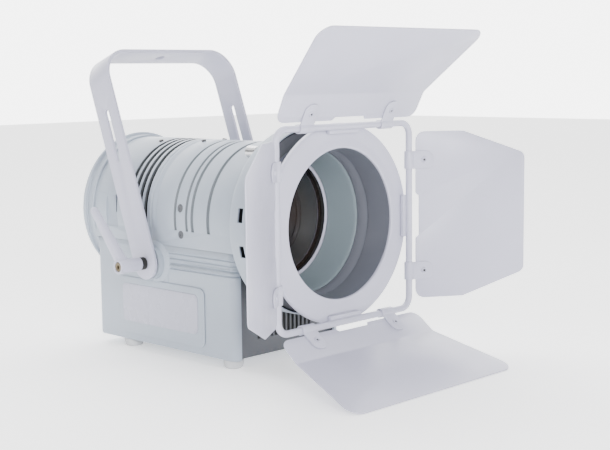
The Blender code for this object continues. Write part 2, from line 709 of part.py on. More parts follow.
def wire_frame():
    """The square of round rod that the leaves hinge on, with a weld tab in the middle of each side."""
    curve = bpy.data.curves.new("wire_path", "CURVE")
    curve.dimensions = "3D"
    curve.bevel_depth = ROD_R
    curve.bevel_resolution = 2
    spline = curve.splines.new("POLY")
    points = rounded_outline(ROD_HALF, ROD_HALF, ROD_CORNER, steps=5)
    spline.points.add(len(points) - 1)
    for point, (x, z) in zip(spline.points, points):
        point.co = (x, 0.0, z, 1.0)
    spline.use_cyclic_u = True
    holder = bpy.data.objects.new("wire_path", curve)
    CUTTERS.objects.link(holder)
    mesh = bpy.data.meshes.new_from_object(holder.evaluated_get(bpy.context.evaluated_depsgraph_get()))
    bpy.data.objects.remove(holder, do_unlink=True)
    shape = bmesh.new()
    shape.from_mesh(mesh)
    bmesh.ops.remove_doubles(shape, verts=shape.verts, dist=0.00002)
    bmesh.ops.recalc_face_normals(shape, faces=shape.faces)
    shape.to_mesh(mesh)
    shape.free()
    mesh.shade_smooth()
    frame = place("barndoor_frame", mesh, TURNTABLE)
    near, far = 0.0012, RING_FACE - GAP
    for i in range(4):
        tab = box(f"weld_tab_{i}", (-0.0225, near, 0.0925), (0.0225, far, ROD_HALF + 0.0005), TURNTABLE)
        tab.rotation_euler = (0.0, i * math.pi / 2, 0.0)
        join(frame, tab)
    return frame


def rounded_polygon(points, steps=4):
    """A closed outline of (x, y, radius) corners, each rounded by its own radius."""
    outline = []
    count = len(points)
    for i in range(count):
        corner = Vector(points[i][:2])
        radius = points[i][2]
        before = (Vector(points[i - 1][:2]) - corner).normalized()
        after = (Vector(points[(i + 1) % count][:2]) - corner).normalized()
        if radius <= 0:
            outline.append(tuple(corner))
            continue
        half = before.angle(after) / 2
        setback = radius / math.tan(half)
        centre = corner + (before + after).normalized() * (radius / math.sin(half))
        start = corner + before * setback - centre
        end = corner + after * setback - centre
        sweep = start.angle_signed(end)
        for k in range(steps + 1):
            angle = -sweep * k / steps
            turned_start = Vector((start.x * math.cos(angle) - start.y * math.sin(angle),
                                   start.x * math.sin(angle) + start.y * math.cos(angle)))
            outline.append(tuple(centre + turned_start))
    return outline


def near_edge(half, corner):
    """The hinge-side edge of a leaf, right to left, with its shallow recess in the middle."""
    step = LEAF_START + RECESS_DEPTH
    return [
        (half, LEAF_START, corner), (RECESS_HALF, LEAF_START, 0.0), (RECESS_HALF - 0.003, step, 0.0),
        (-RECESS_HALF + 0.003, step, 0.0), (-RECESS_HALF, LEAF_START, 0.0), (-half, LEAF_START, corner),
    ]


def side_leaf(name, parent):
    points = near_edge(SIDE_NEAR, 0.0100)
    points += [(-SIDE_NEAR, SIDE_KNEE, 0.004), (-SIDE_FAR, SIDE_LENGTH, 0.0085)]
    points += [(SIDE_FAR, SIDE_LENGTH, 0.0085), (SIDE_NEAR, SIDE_KNEE, 0.004)]
    leaf = flat_plate(name, rounded_polygon(points[::-1]), LEAF_THICK, parent)
    leaf.rotation_euler = (math.radians(90), 0, 0)
    return leaf


def wide_leaf(name, parent):
    """A top or bottom leaf: a flat strip at the hinge, then a panel bent forward at the crease."""
    length, far = WIDE_PANELS[name]
    points = near_edge(WIDE_NEAR + 0.0070, 0.0110)
    points += [(-WIDE_CREASE, CREASE, 0.0), (-far, CREASE + length, 0.0140)]
    points += [(far, CREASE + length, 0.0140), (WIDE_CREASE, CREASE, 0.0)]
    leaf = flat_plate(name, rounded_polygon(points[::-1], steps=5), LEAF_THICK, parent)
    leaf.rotation_euler = (math.radians(90), 0, 0)
    shape = bmesh.new()
    shape.from_mesh(leaf.data)
    bend_start = CREASE - 0.0025
    for level in (bend_start, CREASE, CREASE + 0.0025):
        geometry = list(shape.verts) + list(shape.edges) + list(shape.faces)
        bmesh.ops.bisect_plane(shape, geom=geometry, plane_co=(0, level, 0), plane_no=(0, 1, 0), dist=0.000001)
    for vert in shape.verts:
        along = vert.co.y - bend_start
        if along <= 1e-6:
            continue
        length = 0.0050
        radius = length / CREASE_ANGLE
        angle = min(along, length) / radius
        beyond = max(along - length, 0.0)
        lift = vert.co.z
        base = Vector((radius * math.sin(angle), radius * (1 - math.cos(angle))))
        direction = Vector((math.cos(angle), math.sin(angle)))
        normal = Vector((-direction.y, direction.x))
        spot = base + direction * beyond + normal * lift
        vert.co.y = bend_start + spot.x
        vert.co.z = spot.y
    shape.to_mesh(leaf.data)
    shape.free()
    return leaf


def leaf_clip(name, offset, parent):
    """A strap bent round the rod, its rounded tongue riveted to the leaf."""
    inner = ROD_R + GAP
    outer = inner + CLIP_METAL
    under = -LEAF_THICK / 2 - GAP
    above = under - CLIP_METAL
    lift = math.degrees(math.asin(-under / inner))
    lift_outer = math.degrees(math.asin(-above / outer))
    inner_arc = arc((0, 0), inner, -lift, -(lift + 280), 9)
    outer_arc = arc((0, 0), outer, -(lift + 280), -lift_outer, 9)
    outline = [(CLIP_REACH, above), (CLIP_REACH, under)] + inner_arc + outer_arc
    strap = flat_plate(name, outline, CLIP_WIDTH, parent)
    strap.rotation_euler = (0.0, math.radians(-90), 0.0)
    strap.location = (offset, 0.0, 0.0)
    corner = CLIP_WIDTH / 2 - 0.001
    trim = flat_plate(name + "_trim", rounded_polygon([
        (-CLIP_WIDTH, -0.02, 0.0), (CLIP_WIDTH, -0.02, 0.0), (CLIP_WIDTH, CLIP_REACH - corner, 0.0),
        (CLIP_WIDTH / 2, CLIP_REACH - corner, 0.0), (CLIP_WIDTH / 2, CLIP_REACH, corner),
        (-CLIP_WIDTH / 2, CLIP_REACH, corner), (-CLIP_WIDTH / 2, CLIP_REACH - corner, 0.0),
        (-CLIP_WIDTH, CLIP_REACH - corner, 0.0)], steps=5), 0.03, parent)
    moved(trim, (offset, 0.0, 0.0), (math.radians(90), 0, 0))
    keep(strap, trim)
    rivet = rod(name + "_rivet", 0.0034, (offset, above + 0.0004, 0.0165), (offset, above - 0.0011, 0.0165), parent,
                segments=16, end_radius=0.0026)
    join(strap, rivet)
    return strap


def barndoor_leaves():
    for side, (quarter, swing) in LEAVES.items():
        turn = math.radians(quarter)
        spot = (ROD_HALF * math.sin(turn), 0.0, ROD_HALF * math.cos(turn))
        hinge = empty(f"leaf_{side}_axis", spot, (math.radians(swing), turn, 0.0), TURNTABLE)
        name = f"leaf_{side}"
        if side in ("left", "right"):
            side_leaf(name, hinge)
        else:
            wide_leaf(name, hinge)
        leaf_clip(f"leaf_{side}_clip_1", -CLIP_OFFSET, hinge)
        leaf_clip(f"leaf_{side}_clip_2", CLIP_OFFSET, hinge)


# ---------------------------------------------------------------- yoke and levers

def yoke():
    """A flat bar bent to a U: round lower ends, a slot down each leg and a hole for a clamp."""
    outer = YOKE_OUTER
    inner = outer - YOKE_BAR
    bend = YOKE_BEND_R
    top = YOKE_LENGTH
    foot = -YOKE_WIDTH / 2
    outside = [(outer, foot), *arc((outer - bend, top - bend), bend, 0, 90, 5)]
    outside += [*arc((-outer + bend, top - bend), bend, 90, 180, 5), (-outer, foot)]
    tight = bend - YOKE_BAR
    inside = [(-inner, foot), *arc((-outer + bend, top - bend), tight, 180, 90, 5)]
    inside += [*arc((outer - bend, top - bend), tight, 90, 0, 5), (inner, foot)]
    bar = flat_plate("yoke", outside + inside, YOKE_WIDTH, YOKE_AXIS)
    bar.rotation_euler = (math.radians(90), 0, 0)
    profile = rounded_polygon([(-YOKE_WIDTH / 2, foot, 0.0178), (YOKE_WIDTH / 2, foot, 0.0178),
                               (YOKE_WIDTH / 2 + 0.0005, top + 0.01, 0.0),
                               (-YOKE_WIDTH / 2 - 0.0005, top + 0.01, 0.0)], steps=6)
    mask = flat_plate("yoke_mask", profile, 0.3, YOKE_AXIS)
    mask.rotation_euler = (math.radians(90), 0, math.radians(90))
    keep(bar, mask)
    slot_low, slot_high, slot_half = 0.115, 0.176, 0.0035
    slot = flat_plate("yoke_slots", rounded_outline(slot_half, (slot_high - slot_low) / 2, slot_half - 0.0001, steps=3),
                      0.3, YOKE_AXIS)
    moved(slot, (0.0, 0.0, (slot_low + slot_high) / 2), (math.radians(90), 0, math.radians(90)))
    cut(bar, slot)
    cut(bar, rod("yoke_pivot_bores", PIVOT_BORE_R, (-0.15, 0, 0), (0.15, 0, 0), YOKE_AXIS))
    cut(bar, rod("yoke_clamp_hole", HANGING_HOLE_R, (0, 0, top - 0.03), (0, 0, top + 0.03), YOKE_AXIS))
    return bar


def pivot_side(side_name, side):
    """Friction washer, stud and clamp lever on one side."""
    washer_near, washer_far = 0.0903, 0.0915
    washer = rod(f"friction_washer_{side_name}", 0.0165, (side * washer_near, PIVOT_STATION, PIVOT_HEIGHT),
                 (side * washer_far, PIVOT_STATION, PIVOT_HEIGHT), LENS, BLACK, segments=20)
    cut(washer, rod(f"washer_bore_{side_name}", PIVOT_BORE_R, (side * 0.08, PIVOT_STATION, PIVOT_HEIGHT),
                    (side * 0.1, PIVOT_STATION, PIVOT_HEIGHT), LENS))
    axis = empty(f"clamp_lever_{side_name}_axis", (0.0, 0.0, 0.0), (-(LEVER_BACK - YOKE_TILT), 0.0, 0.0), YOKE_AXIS)
    stud = rod(f"clamp_stud_{side_name}", 0.0040, (side * 0.0800, 0, 0), (side * 0.1285, 0, 0), axis, STEEL)
    join(stud, rod(f"stud_collar_{side_name}", 0.0068, (side * 0.0962, 0, 0), (side * 0.1030, 0, 0), axis))
    head = rod(f"stud_head_{side_name}", 0.0050, (side * 0.1270, 0, 0), (side * 0.1312, 0, 0), axis)
    join(stud, head)
    cut(stud, rod(f"stud_socket_{side_name}", 0.0026, (side * 0.1288, 0, 0), (side * 0.14, 0, 0), axis, segments=6))
    hub = rod(f"clamp_lever_{side_name}", 0.0072, (side * 0.1033, 0, 0), (side * 0.1317, 0, 0), axis, PAINT,
              end_radius=0.0080)
    arm_start = (side * 0.1235, 0.0, 0.0)
    arm_end = (side * 0.1330, 0.0, 0.0690)
    arm = rod(f"lever_arm_{side_name}", 0.0068, arm_start, arm_end, axis, end_radius=0.0046)
    flatten = box(f"lever_trim_{side_name}", (min(side * 0.1062, side * 0.1420), -0.0058, -0.012),
                  (max(side * 0.1062, side * 0.1420), 0.0058, 0.080), axis)
    keep(arm, flatten)
    tip = rod(f"lever_tip_{side_name}", 0.0046, (side * 0.1330, -0.0052, 0.0685), (side * 0.1330, 0.0052, 0.0685),
              axis)
    join(hub, arm)
    join(hub, tip)
    bore = rod(f"hub_bore_{side_name}", 0.0043, (side * 0.1, 0, 0), (side * 0.14, 0, 0), axis)
    cut(hub, bore)
    seat = rod(f"hub_seat_{side_name}", 0.0054, (side * 0.1266, 0, 0), (side * 0.14, 0, 0), axis)
    cut(hub, seat)


# ---------------------------------------------------------------- assembly

clear_scene()
PARTS = make_collection("stage_spotlight")
CUTTERS = make_collection("spotlight_cutters")
LENS = empty("lens_frame", (0.0, FRAME_PLANE_Y, AXIS_HEIGHT))
TURNTABLE = empty("barndoor_axis", (0.0, 0.0, 0.0), parent=LENS)
YOKE_AXIS = empty("yoke_axis", (0.0, PIVOT_STATION, PIVOT_HEIGHT), (-YOKE_TILT, 0.0, 0.0), LENS)

barrel_neck()
front_shell()
rear_shell()
rear_cover()
lens_tube()
front_bezel()
base_housing()
front_panel()
base_plate()
feet()
side_panel("side_panel_left", -1)
side_panel("side_panel_right", 1)
rear_fittings()
light_engine()
lens_group()
accessory_plunger()
barndoor_plate()
barndoor_ring()
barndoor_tube()
wire_frame()
barndoor_leaves()
yoke()
pivot_side("left", -1)
pivot_side("right", 1)
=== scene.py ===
"""Looks for the stage spotlight: finer shells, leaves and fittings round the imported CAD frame.

Pieces are drawn in the lens frame, in metres: X to the right of the light, Y back along the lens
axis from the plane of the barndoor's wire frame, Z up from the axis. The frame gives its place.
"""
from math import asin, cos, degrees, hypot, pi, radians, sin, sqrt, tan

import bmesh
import bpy
from mathutils import Matrix, Vector


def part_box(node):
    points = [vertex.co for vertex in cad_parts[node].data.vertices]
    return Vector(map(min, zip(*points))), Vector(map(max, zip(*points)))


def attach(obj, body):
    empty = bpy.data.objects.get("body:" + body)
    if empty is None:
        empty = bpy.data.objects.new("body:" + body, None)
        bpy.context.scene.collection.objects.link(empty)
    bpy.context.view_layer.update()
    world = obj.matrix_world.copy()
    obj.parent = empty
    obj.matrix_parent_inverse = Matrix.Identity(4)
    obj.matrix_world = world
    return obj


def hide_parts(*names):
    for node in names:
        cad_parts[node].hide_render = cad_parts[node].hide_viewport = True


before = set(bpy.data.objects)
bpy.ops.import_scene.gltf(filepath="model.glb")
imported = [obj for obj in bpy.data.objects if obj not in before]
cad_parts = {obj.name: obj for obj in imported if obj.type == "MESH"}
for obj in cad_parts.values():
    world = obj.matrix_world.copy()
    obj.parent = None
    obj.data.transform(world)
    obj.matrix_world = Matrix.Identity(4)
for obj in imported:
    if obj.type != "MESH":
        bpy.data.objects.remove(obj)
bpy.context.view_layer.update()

# ---- places, read from the frame

ROD_R = 0.0035
FRAME_LOW, FRAME_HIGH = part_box("barndoor_frame")
ORIGIN = Vector((0.0, FRAME_LOW.y + ROD_R, (FRAME_LOW.z + FRAME_HIGH.z) / 2))
ROD_HALF = FRAME_HIGH.x - ROD_R
LENS = Matrix.Translation(ORIGIN)


def in_lens_frame(node):
    low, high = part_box(node)
    return low - ORIGIN, high - ORIGIN


def round_node(node):
    """X, Z and radius of a node that is round about its own axis along Y."""
    low, high = in_lens_frame(node)
    return (low.x + high.x) / 2, (low.z + high.z) / 2, (high.x - low.x) / 2


PLATE_HIGH = in_lens_frame("base_plate")[1]
BASE_LOW, BASE_HIGH = in_lens_frame("base_housing")
NECK_LOW, NECK_HIGH = in_lens_frame("barrel_neck")
TUBE_LOW, TUBE_HIGH = in_lens_frame("lens_tube")
RING_LOW, RING_HIGH = in_lens_frame("barndoor_ring")
BEZEL_LOW, BEZEL_HIGH = in_lens_frame("front_bezel")
FRONT_HIGH = in_lens_frame("front_shell")[1]
REAR_LOW, REAR_HIGH = in_lens_frame("rear_shell")
CAP_LOW, CAP_HIGH = in_lens_frame("rear_cover")
WASHER_LOW, WASHER_HIGH = in_lens_frame("friction_washer_right")

HAIR = 0.0003                   # the gap between pieces that nearly touch
WALL = 0.003                    # the thickness of the cast shells
BARREL_R = FRONT_HIGH.z
SKIRT_TOP = -0.014
SKIRT_BOTTOM = -0.030
BASE_HALF = PLATE_HIGH.x + WALL + HAIR
BASE_FRONT = BASE_LOW.y
BASE_REAR = BASE_HIGH.y
BASE_BOTTOM = BASE_LOW.z
PIVOT = Vector((0.0, (WASHER_LOW.y + WASHER_HIGH.y) / 2, (WASHER_LOW.z + WASHER_HIGH.z) / 2))
YOKE_TILT = radians(20.1)
YOKE = LENS @ Matrix.Translation(PIVOT) @ Matrix.Rotation(-YOKE_TILT, 4, "X")
LEVER_BACK = radians(32.0)
LEVER = LENS @ Matrix.Translation(PIVOT) @ Matrix.Rotation(-LEVER_BACK, 4, "X")
LENS_STATION = 0.096
ZOOM_STATION = 0.0985
LENS_TRAVEL = 0.055
PIVOT_BORE_R = 0.0044
RING_FACE = RING_LOW.y + 0.0009
RING_END = in_lens_frame("barndoor_tube")[1].y
BORE_R = 0.0776
TUBE_R = 0.0794
GROOVES = ((0.1735, 0.0040), (0.1550, 0.0038), (0.1455, 0.0044), (0.1200, 0.0046))
GROOVE_DEPTH = 0.0022
GROOVE_SHADE_RADII = (0.0780, 0.0798)   # from the axis: the floors and walls of the grooves, where painted shade goes
VENT_COUNT = 4
VENT_SPAN = 0.0058
VENT_PITCH = 0.010
PLUG_STATION = 0.1670
PLUG_HEIGHTS = (0.0120, -0.0165)
TRAY_NOTCHES = ((0.0065, 0.0210), (-0.0290, -0.0170))
SEAT_ANGLES = (70, 190, 310)    # the three seats that hold the barndoor's plate
CORNER_R = 0.009                # the upright corners of the base
RIB_HEIGHTS = (-0.0378, -0.0432, -0.0488, -0.0543)
RIB_SHAPE = ((0.0013, 0.0), (0.0008, 0.0008), (0.0003, 0.0013),
             (-0.0003, 0.0013), (-0.0008, 0.0008), (-0.0013, 0.0))
RIB_END = 0.1880
LEAF_THICK = 0.0012
CREASE = 0.0370                 # from the hinge to the fold of a wide leaf
CREASE_ANGLE = radians(21.0)
WIDE_PANELS = {"top": (0.0920, 0.1235), "bottom": (0.0970, 0.1265)}
CLIP_OFFSET = 0.0600
EYE = Vector((-0.9265, -0.8418, 0.1529))
YAW, PITCH, ROLL = radians(45.8), radians(6.98), radians(-0.66)
FOCAL_LENGTH, FILM_WIDTH = 72.9, 36.0

LEAVES = {"top": (0.0, 26.5), "right": (90.0, 34.0), "bottom": (180.0, 51.5), "left": (-90.0, 34.0)}


def leaf_place(side):
    """The leaf's hinge: Z out along the leaf, X along the rod, -Y towards the light."""
    quarter, swing = LEAVES[side]
    turn = radians(quarter)
    spot = Vector((ROD_HALF * sin(turn), 0.0, ROD_HALF * cos(turn)))
    around = Matrix.Rotation(turn, 4, "Y") @ Matrix.Rotation(radians(swing), 4, "X")
    return LENS @ Matrix.Translation(spot) @ around


# ---- materials

class Nodes:
    """A short way to write a material's node tree."""

    def __init__(self, name):
        self.material = bpy.data.materials.new(name)
        self.material.use_nodes = True
        self.tree = self.material.node_tree
        self.shader = self.tree.nodes["Principled BSDF"]
        self.place = self.tree.nodes.new("ShaderNodeTexCoord").outputs["Object"]

    def set(self, **values):
        for key, value in values.items():
            self.shader.inputs[key.replace("_", " ")].default_value = value
        return self

    def noise(self, scale, detail=3.0, stretch=None):
        node = self.tree.nodes.new("ShaderNodeTexNoise")
        node.inputs["Scale"].default_value = scale
        node.inputs["Detail"].default_value = detail
        source = self.place
        if stretch:
            mapping = self.tree.nodes.new("ShaderNodeMapping")
            mapping.inputs["Scale"].default_value = stretch
            self.tree.links.new(self.place, mapping.inputs["Vector"])
            source = mapping.outputs["Vector"]
        self.tree.links.new(source, node.inputs["Vector"])
        return node.outputs["Fac"]

    def spread(self, value, low=0.0, high=1.0, start=0.3, end=0.7):
        node = self.tree.nodes.new("ShaderNodeMapRange")
        for key, number in (("From Min", start), ("From Max", end), ("To Min", low), ("To Max", high)):
            node.inputs[key].default_value = number
        self.tree.links.new(value, node.inputs["Value"])
        return node.outputs["Result"]

    def blend(self, value, first, second):
        node = self.tree.nodes.new("ShaderNodeMix")
        node.data_type = "RGBA"
        node.inputs["A"].default_value = (*first, 1.0)
        node.inputs["B"].default_value = (*second, 1.0)
        self.tree.links.new(value, node.inputs["Factor"])
        return node.outputs["Result"]

    def link(self, value, socket):
        self.tree.links.new(value, self.shader.inputs[socket])
        return self

    def bump(self, value, strength, distance):
        node = self.tree.nodes.new("ShaderNodeBump")
        node.inputs["Strength"].default_value = strength
        node.inputs["Distance"].default_value = distance
        self.tree.links.new(value, node.inputs["Height"])
        return self.link(node.outputs["Normal"], "Normal")


def paint(name, colour, roughness=0.42, grain=0.10, mottle=0.03):
    """Powder coat: a fine orange-peel surface, slightly uneven in tone and in gloss."""
    nodes = Nodes(name)
    darker = tuple(c * (1 - mottle) for c in colour)
    lighter = tuple(min(1.0, c * (1 + mottle)) for c in colour)
    broad = nodes.noise(14.0, 4.0)
    nodes.link(nodes.blend(nodes.spread(broad), darker, lighter), "Base Color")
    nodes.link(nodes.spread(nodes.noise(45.0, 3.0), roughness - 0.05, roughness + 0.06), "Roughness")
    nodes.bump(nodes.noise(1400.0, 2.0), grain, 0.0002)
    nodes.set(Specular_IOR_Level=0.45)
    return nodes.material


def plastic(name, colour, roughness=0.45):
    nodes = Nodes(name)
    lighter = tuple(min(1.0, c * 1.5 + 0.004) for c in colour)
    nodes.link(nodes.blend(nodes.spread(nodes.noise(60.0, 4.0)), colour, lighter), "Base Color")
    nodes.link(nodes.spread(nodes.noise(150.0), roughness - 0.06, roughness + 0.08), "Roughness")
    nodes.bump(nodes.noise(2200.0, 2.0), 0.12, 0.0001)
    return nodes.material


def rubber(name, colour):
    nodes = Nodes(name)
    darker = tuple(c * 0.82 for c in colour)
    nodes.link(nodes.blend(nodes.spread(nodes.noise(120.0, 4.0)), darker, colour), "Base Color")
    nodes.link(nodes.spread(nodes.noise(300.0), 0.7, 0.9), "Roughness")
    nodes.bump(nodes.noise(1800.0, 3.0), 0.25, 0.0002)
    return nodes.material


def metal(name, colour, roughness=0.28, brushed=(1.0, 30.0, 30.0)):
    nodes = Nodes(name)
    nodes.set(Metallic=1.0)
    darker = tuple(c * 0.8 for c in colour)
    streaks = nodes.noise(60.0, 3.0, stretch=brushed)
    nodes.link(nodes.blend(nodes.spread(streaks), darker, colour), "Base Color")
    nodes.link(nodes.spread(streaks, roughness - 0.06, roughness + 0.1), "Roughness")
    nodes.bump(streaks, 0.08, 0.0001)
    return nodes.material


def lens_glass(name):
    """Dark glass: its nearly black colour is painted shade for the unlit chamber behind it, and its faint
    warm patches are a painted reflection.
    """
    nodes = Nodes(name)
    tone = nodes.spread(nodes.noise(22.0, 2.0))
    nodes.link(nodes.blend(tone, (0.006, 0.006, 0.007), (0.022, 0.014, 0.010)), "Base Color")
    nodes.link(nodes.spread(nodes.noise(35.0), 0.04, 0.09), "Roughness")
    nodes.bump(nodes.noise(30.0, 1.0), 0.03, 0.0004)
    nodes.set(Coat_Weight=0.6, Coat_Roughness=0.03, Specular_IOR_Level=0.5)
    return nodes.material


def circuit(name, colour):
    nodes = Nodes(name)
    traces = nodes.spread(nodes.noise(260.0, 1.0, stretch=(1.0, 6.0, 0.4)), 0.0, 1.0, 0.45, 0.55)
    lighter = tuple(min(1.0, c * 1.9) for c in colour)
    nodes.link(nodes.blend(traces, colour, lighter), "Base Color")
    nodes.link(nodes.spread(nodes.noise(200.0), 0.3, 0.5), "Roughness")
    return nodes.material


BODY_PAINT = paint("body_paint", (0.34, 0.385, 0.45), 0.40)
DOOR_PAINT = paint("door_paint", (0.43, 0.43, 0.53), 0.33, grain=0.07)
# painted shade: a dark grey for the barndoor drum, whose bore and outside lie in shadow
BORE_SHADE = paint("bore_shade", (0.125, 0.132, 0.158), 0.36, grain=0.05)
TUBE_PAINT = paint("tube_paint", (0.17, 0.21, 0.235), 0.42, grain=0.05)
# painted shade: a dark grey for recessed faces that lie in shadow, used on the barndoor's plate, the tray's
# seats and floor, the base's front and control panels and the barrel's sunk screws
SHADE_PAINT = paint("shaded_paint", (0.085, 0.09, 0.10), 0.50)
# painted shade: a darker grey for the floors and walls of the barrel's grooves
GROOVE_SHADE = paint("groove_shade", (0.13, 0.15, 0.168), 0.50)
# painted shade: a near-black grey for the sunk walls round the rear shell's vents
VENT_SHADE = paint("vent_shade", (0.06, 0.066, 0.072), 0.60)
LABEL = paint("label_sheet", (0.40, 0.405, 0.49), 0.28, grain=0.02, mottle=0.01)
BLACK = plastic("black_plastic", (0.012, 0.012, 0.013))
GRILLE = plastic("grille_black", (0.02, 0.019, 0.017), 0.5)
RUBBER = rubber("grey_rubber", (0.55, 0.56, 0.58))
GLASS = lens_glass("lens_glass")
STEEL = metal("bright_steel", (0.62, 0.62, 0.63))
BRASS = metal("dark_brass", (0.20, 0.165, 0.11), 0.35)
FIN = plastic("anodised_fins", (0.012, 0.013, 0.014), 0.6)
PHOSPHOR = plastic("led_phosphor", (0.70, 0.52, 0.10), 0.55)
BOARD = circuit("circuit_board", (0.02, 0.12, 0.05))
SCREEN = plastic("display_glass", (0.01, 0.018, 0.03), 0.12)

# paint, body and slot of the pieces that share them
SHELL = (BODY_PAINT, "housing", "light_paint")
SHADED = (SHADE_PAINT, "housing", "shaded_paint")
DARK = (BLACK, "housing", "black_plastic")
BRIGHT = (STEEL, "housing", "bright_steel")
DOOR = (DOOR_PAINT, "barndoor", "light_paint")


# ---- mesh helpers

def add(name, data):
    """A new object in the scene."""
    item = bpy.data.objects.new(name, data)
    bpy.context.scene.collection.objects.link(item)
    return item


def piece(name, mesh, place, material, body, slot):
    item = add(name, mesh)
    item.matrix_world = place
    item.data.materials.append(material)
    item["wants_body"] = body
    return item


def mesh_from(name, shape):
    bmesh.ops.recalc_face_normals(shape, faces=shape.faces)
    mesh = bpy.data.meshes.new(name)
    shape.to_mesh(mesh)
    shape.free()
    return mesh


def revolve(name, profile, segments=128):
    """A closed profile of (radius, station) turned about the lens axis; a radius of 0 closes a pole."""
    shape = bmesh.new()
    rings = []
    for radius, station in profile:
        if radius < 1e-7:
            rings.append([shape.verts.new((0.0, station, 0.0))])
            continue
        turns = [2 * pi * i / segments for i in range(segments)]
        rings.append([shape.verts.new((radius * cos(t), station, radius * sin(t))) for t in turns])
    pairs = list(zip(rings, rings[1:]))
    if len(rings[0]) > 1 and len(rings[-1]) > 1:
        pairs.append((rings[-1], rings[0]))
    for first, second in pairs:
        for i in range(segments):
            j = (i + 1) % segments
            corners = [first[i % len(first)], second[i % len(second)],
                       second[j % len(second)], first[j % len(first)]]
            corners = list(dict.fromkeys(corners))
            if len(corners) > 2:
                shape.faces.new(corners)
    return mesh_from(name, shape)


def cuboid(name, low, high):
    shape = bmesh.new()
    bmesh.ops.create_cube(shape, size=1.0)
    for vert in shape.verts:
        vert.co = Vector([(low[k] + high[k]) / 2 + vert.co[k] * (high[k] - low[k]) for k in range(3)])
    return mesh_from(name, shape)


def cylinder(name, radius, start, end, end_radius=None, segments=48):
    start, end = Vector(start), Vector(end)
    shape = bmesh.new()
    far = radius if end_radius is None else end_radius
    bmesh.ops.create_cone(shape, cap_ends=True, segments=segments, radius1=radius, radius2=far,
                          depth=(end - start).length)
    turn = Vector((0, 0, 1)).rotation_difference((end - start).normalized()).to_matrix()
    for vert in shape.verts:
        vert.co = turn @ vert.co + (start + end) / 2
    return mesh_from(name, shape)


def slab(name, outline, low, high, across):
    """An outline extruded between two heights; across(x, y, z) turns its own axes into the frame's."""
    shape = bmesh.new()
    below = [shape.verts.new(across(x, y, low)) for x, y in outline]
    above = [shape.verts.new(across(x, y, high)) for x, y in outline]
    shape.faces.new(below[::-1])
    shape.faces.new(above)
    count = len(outline)
    for i in range(count):
        j = (i + 1) % count
        shape.faces.new((below[i], below[j], above[j], above[i]))
    return mesh_from(name, shape)


def facing_front(x, y, z):
    return (x, z, y)


def facing_side(x, y, z):
    return (z, x, y)


def arc(centre, radius, start, end, steps):
    turns = [radians(start + (end - start) * i / steps) for i in range(steps + 1)]
    return [(centre[0] + radius * cos(t), centre[1] + radius * sin(t)) for t in turns]


def rounded_box(half_x, half_y, radius, steps=8, centre=(0.0, 0.0)):
    points = []
    for turn, (sx, sy) in enumerate(((1, 1), (-1, 1), (-1, -1), (1, -1))):
        middle = (centre[0] + sx * (half_x - radius), centre[1] + sy * (half_y - radius))
        points += arc(middle, radius, 90 * turn, 90 * turn + 90, steps)
    return points


def rounded_polygon(points, steps=8):
    """A closed outline of (x, y, radius) corners, each rounded by its own radius."""
    outline = []
    count = len(points)
    for i in range(count):
        corner = Vector(points[i][:2])
        radius = points[i][2]
        if radius <= 0:
            outline.append(tuple(corner))
            continue
        before = (Vector(points[i - 1][:2]) - corner).normalized()
        after = (Vector(points[(i + 1) % count][:2]) - corner).normalized()
        half = before.angle(after) / 2
        centre = corner + (before + after).normalized() * (radius / sin(half))
        start = corner + before * (radius / tan(half)) - centre
        end = corner + after * (radius / tan(half)) - centre
        sweep = -start.angle_signed(end)
        for k in range(steps + 1):
            turn = Matrix.Rotation(sweep * k / steps, 2)
            outline.append(tuple(centre + turn @ start))
    return outline


def boolean(target, meshes, operation="DIFFERENCE"):
    """Cuts or joins shapes drawn in the target's own axes, and applies the result."""
    for mesh in meshes:
        other = add("tool", mesh)
        other.matrix_world = target.matrix_world
        step = target.modifiers.new("shape", "BOOLEAN")
        step.operation = operation
        step.solver = "EXACT"
        step.object = other
        apply(target)
        bpy.data.objects.remove(other)
    return target


def evaluated(item):
    """The mesh that an object's modifiers or curve settings make."""
    bpy.context.view_layer.update()
    return bpy.data.meshes.new_from_object(item.evaluated_get(bpy.context.evaluated_depsgraph_get()))


def apply(item):
    done = evaluated(item)
    item.modifiers.clear()
    item.data = done


def soften(item, width=0.0004, segments=2, angle=32.0, crisp=34.0):
    """Rounds the edges and shades the rest smooth."""
    if width:
        bevel = item.modifiers.new("edges", "BEVEL")
        bevel.width = width
        bevel.segments = segments
        bevel.limit_method = "ANGLE"
        bevel.angle_limit = radians(angle)
        apply(item)
    item.data.shade_smooth()
    item.data.set_sharp_from_angle(angle=radians(crisp))
    return item


def finish(item, *nodes):
    """Puts the place into the mesh, rides on its body, and stands for any CAD nodes named."""
    item.data.transform(item.matrix_world)
    item.matrix_world = Matrix()
    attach(item, item["wants_body"])
    if nodes:
        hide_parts(*nodes)


def fit(item, width, *nodes, **shading):
    """Softens a piece, then finishes it."""
    finish(soften(item, width, **shading), *nodes)


def tint(item, material, inside):
    """Gives another paint to the faces whose middle passes a test."""
    item.data.materials.append(material)
    for face in item.data.polygons:
        if inside(face.center):
            face.material_index = len(item.data.materials) - 1


# ---- barrel

def arched(name, profile, near, far, open_from):
    """A turned shell, cut off level below and carried down by a flat skirt each side."""
    shell = piece(name, revolve(name, profile), LENS, *SHELL)
    boolean(shell, [cuboid("below", (-0.12, open_from, -0.12), (0.12, far + 0.01, SKIRT_TOP))])
    skirts = []
    for side in (-1, 1):
        x = sorted((side * (BASE_HALF - WALL), side * BASE_HALF))
        skirts.append(cuboid("skirt", (x[0], near, SKIRT_BOTTOM), (x[1], far, SKIRT_TOP + 0.0015)))
    return boolean(shell, skirts, "UNION")


def wall_at(height):
    """How far out the barrel's wall or its skirt stands at a height."""
    return sqrt(BARREL_R ** 2 - height ** 2) if height > SKIRT_TOP else BASE_HALF


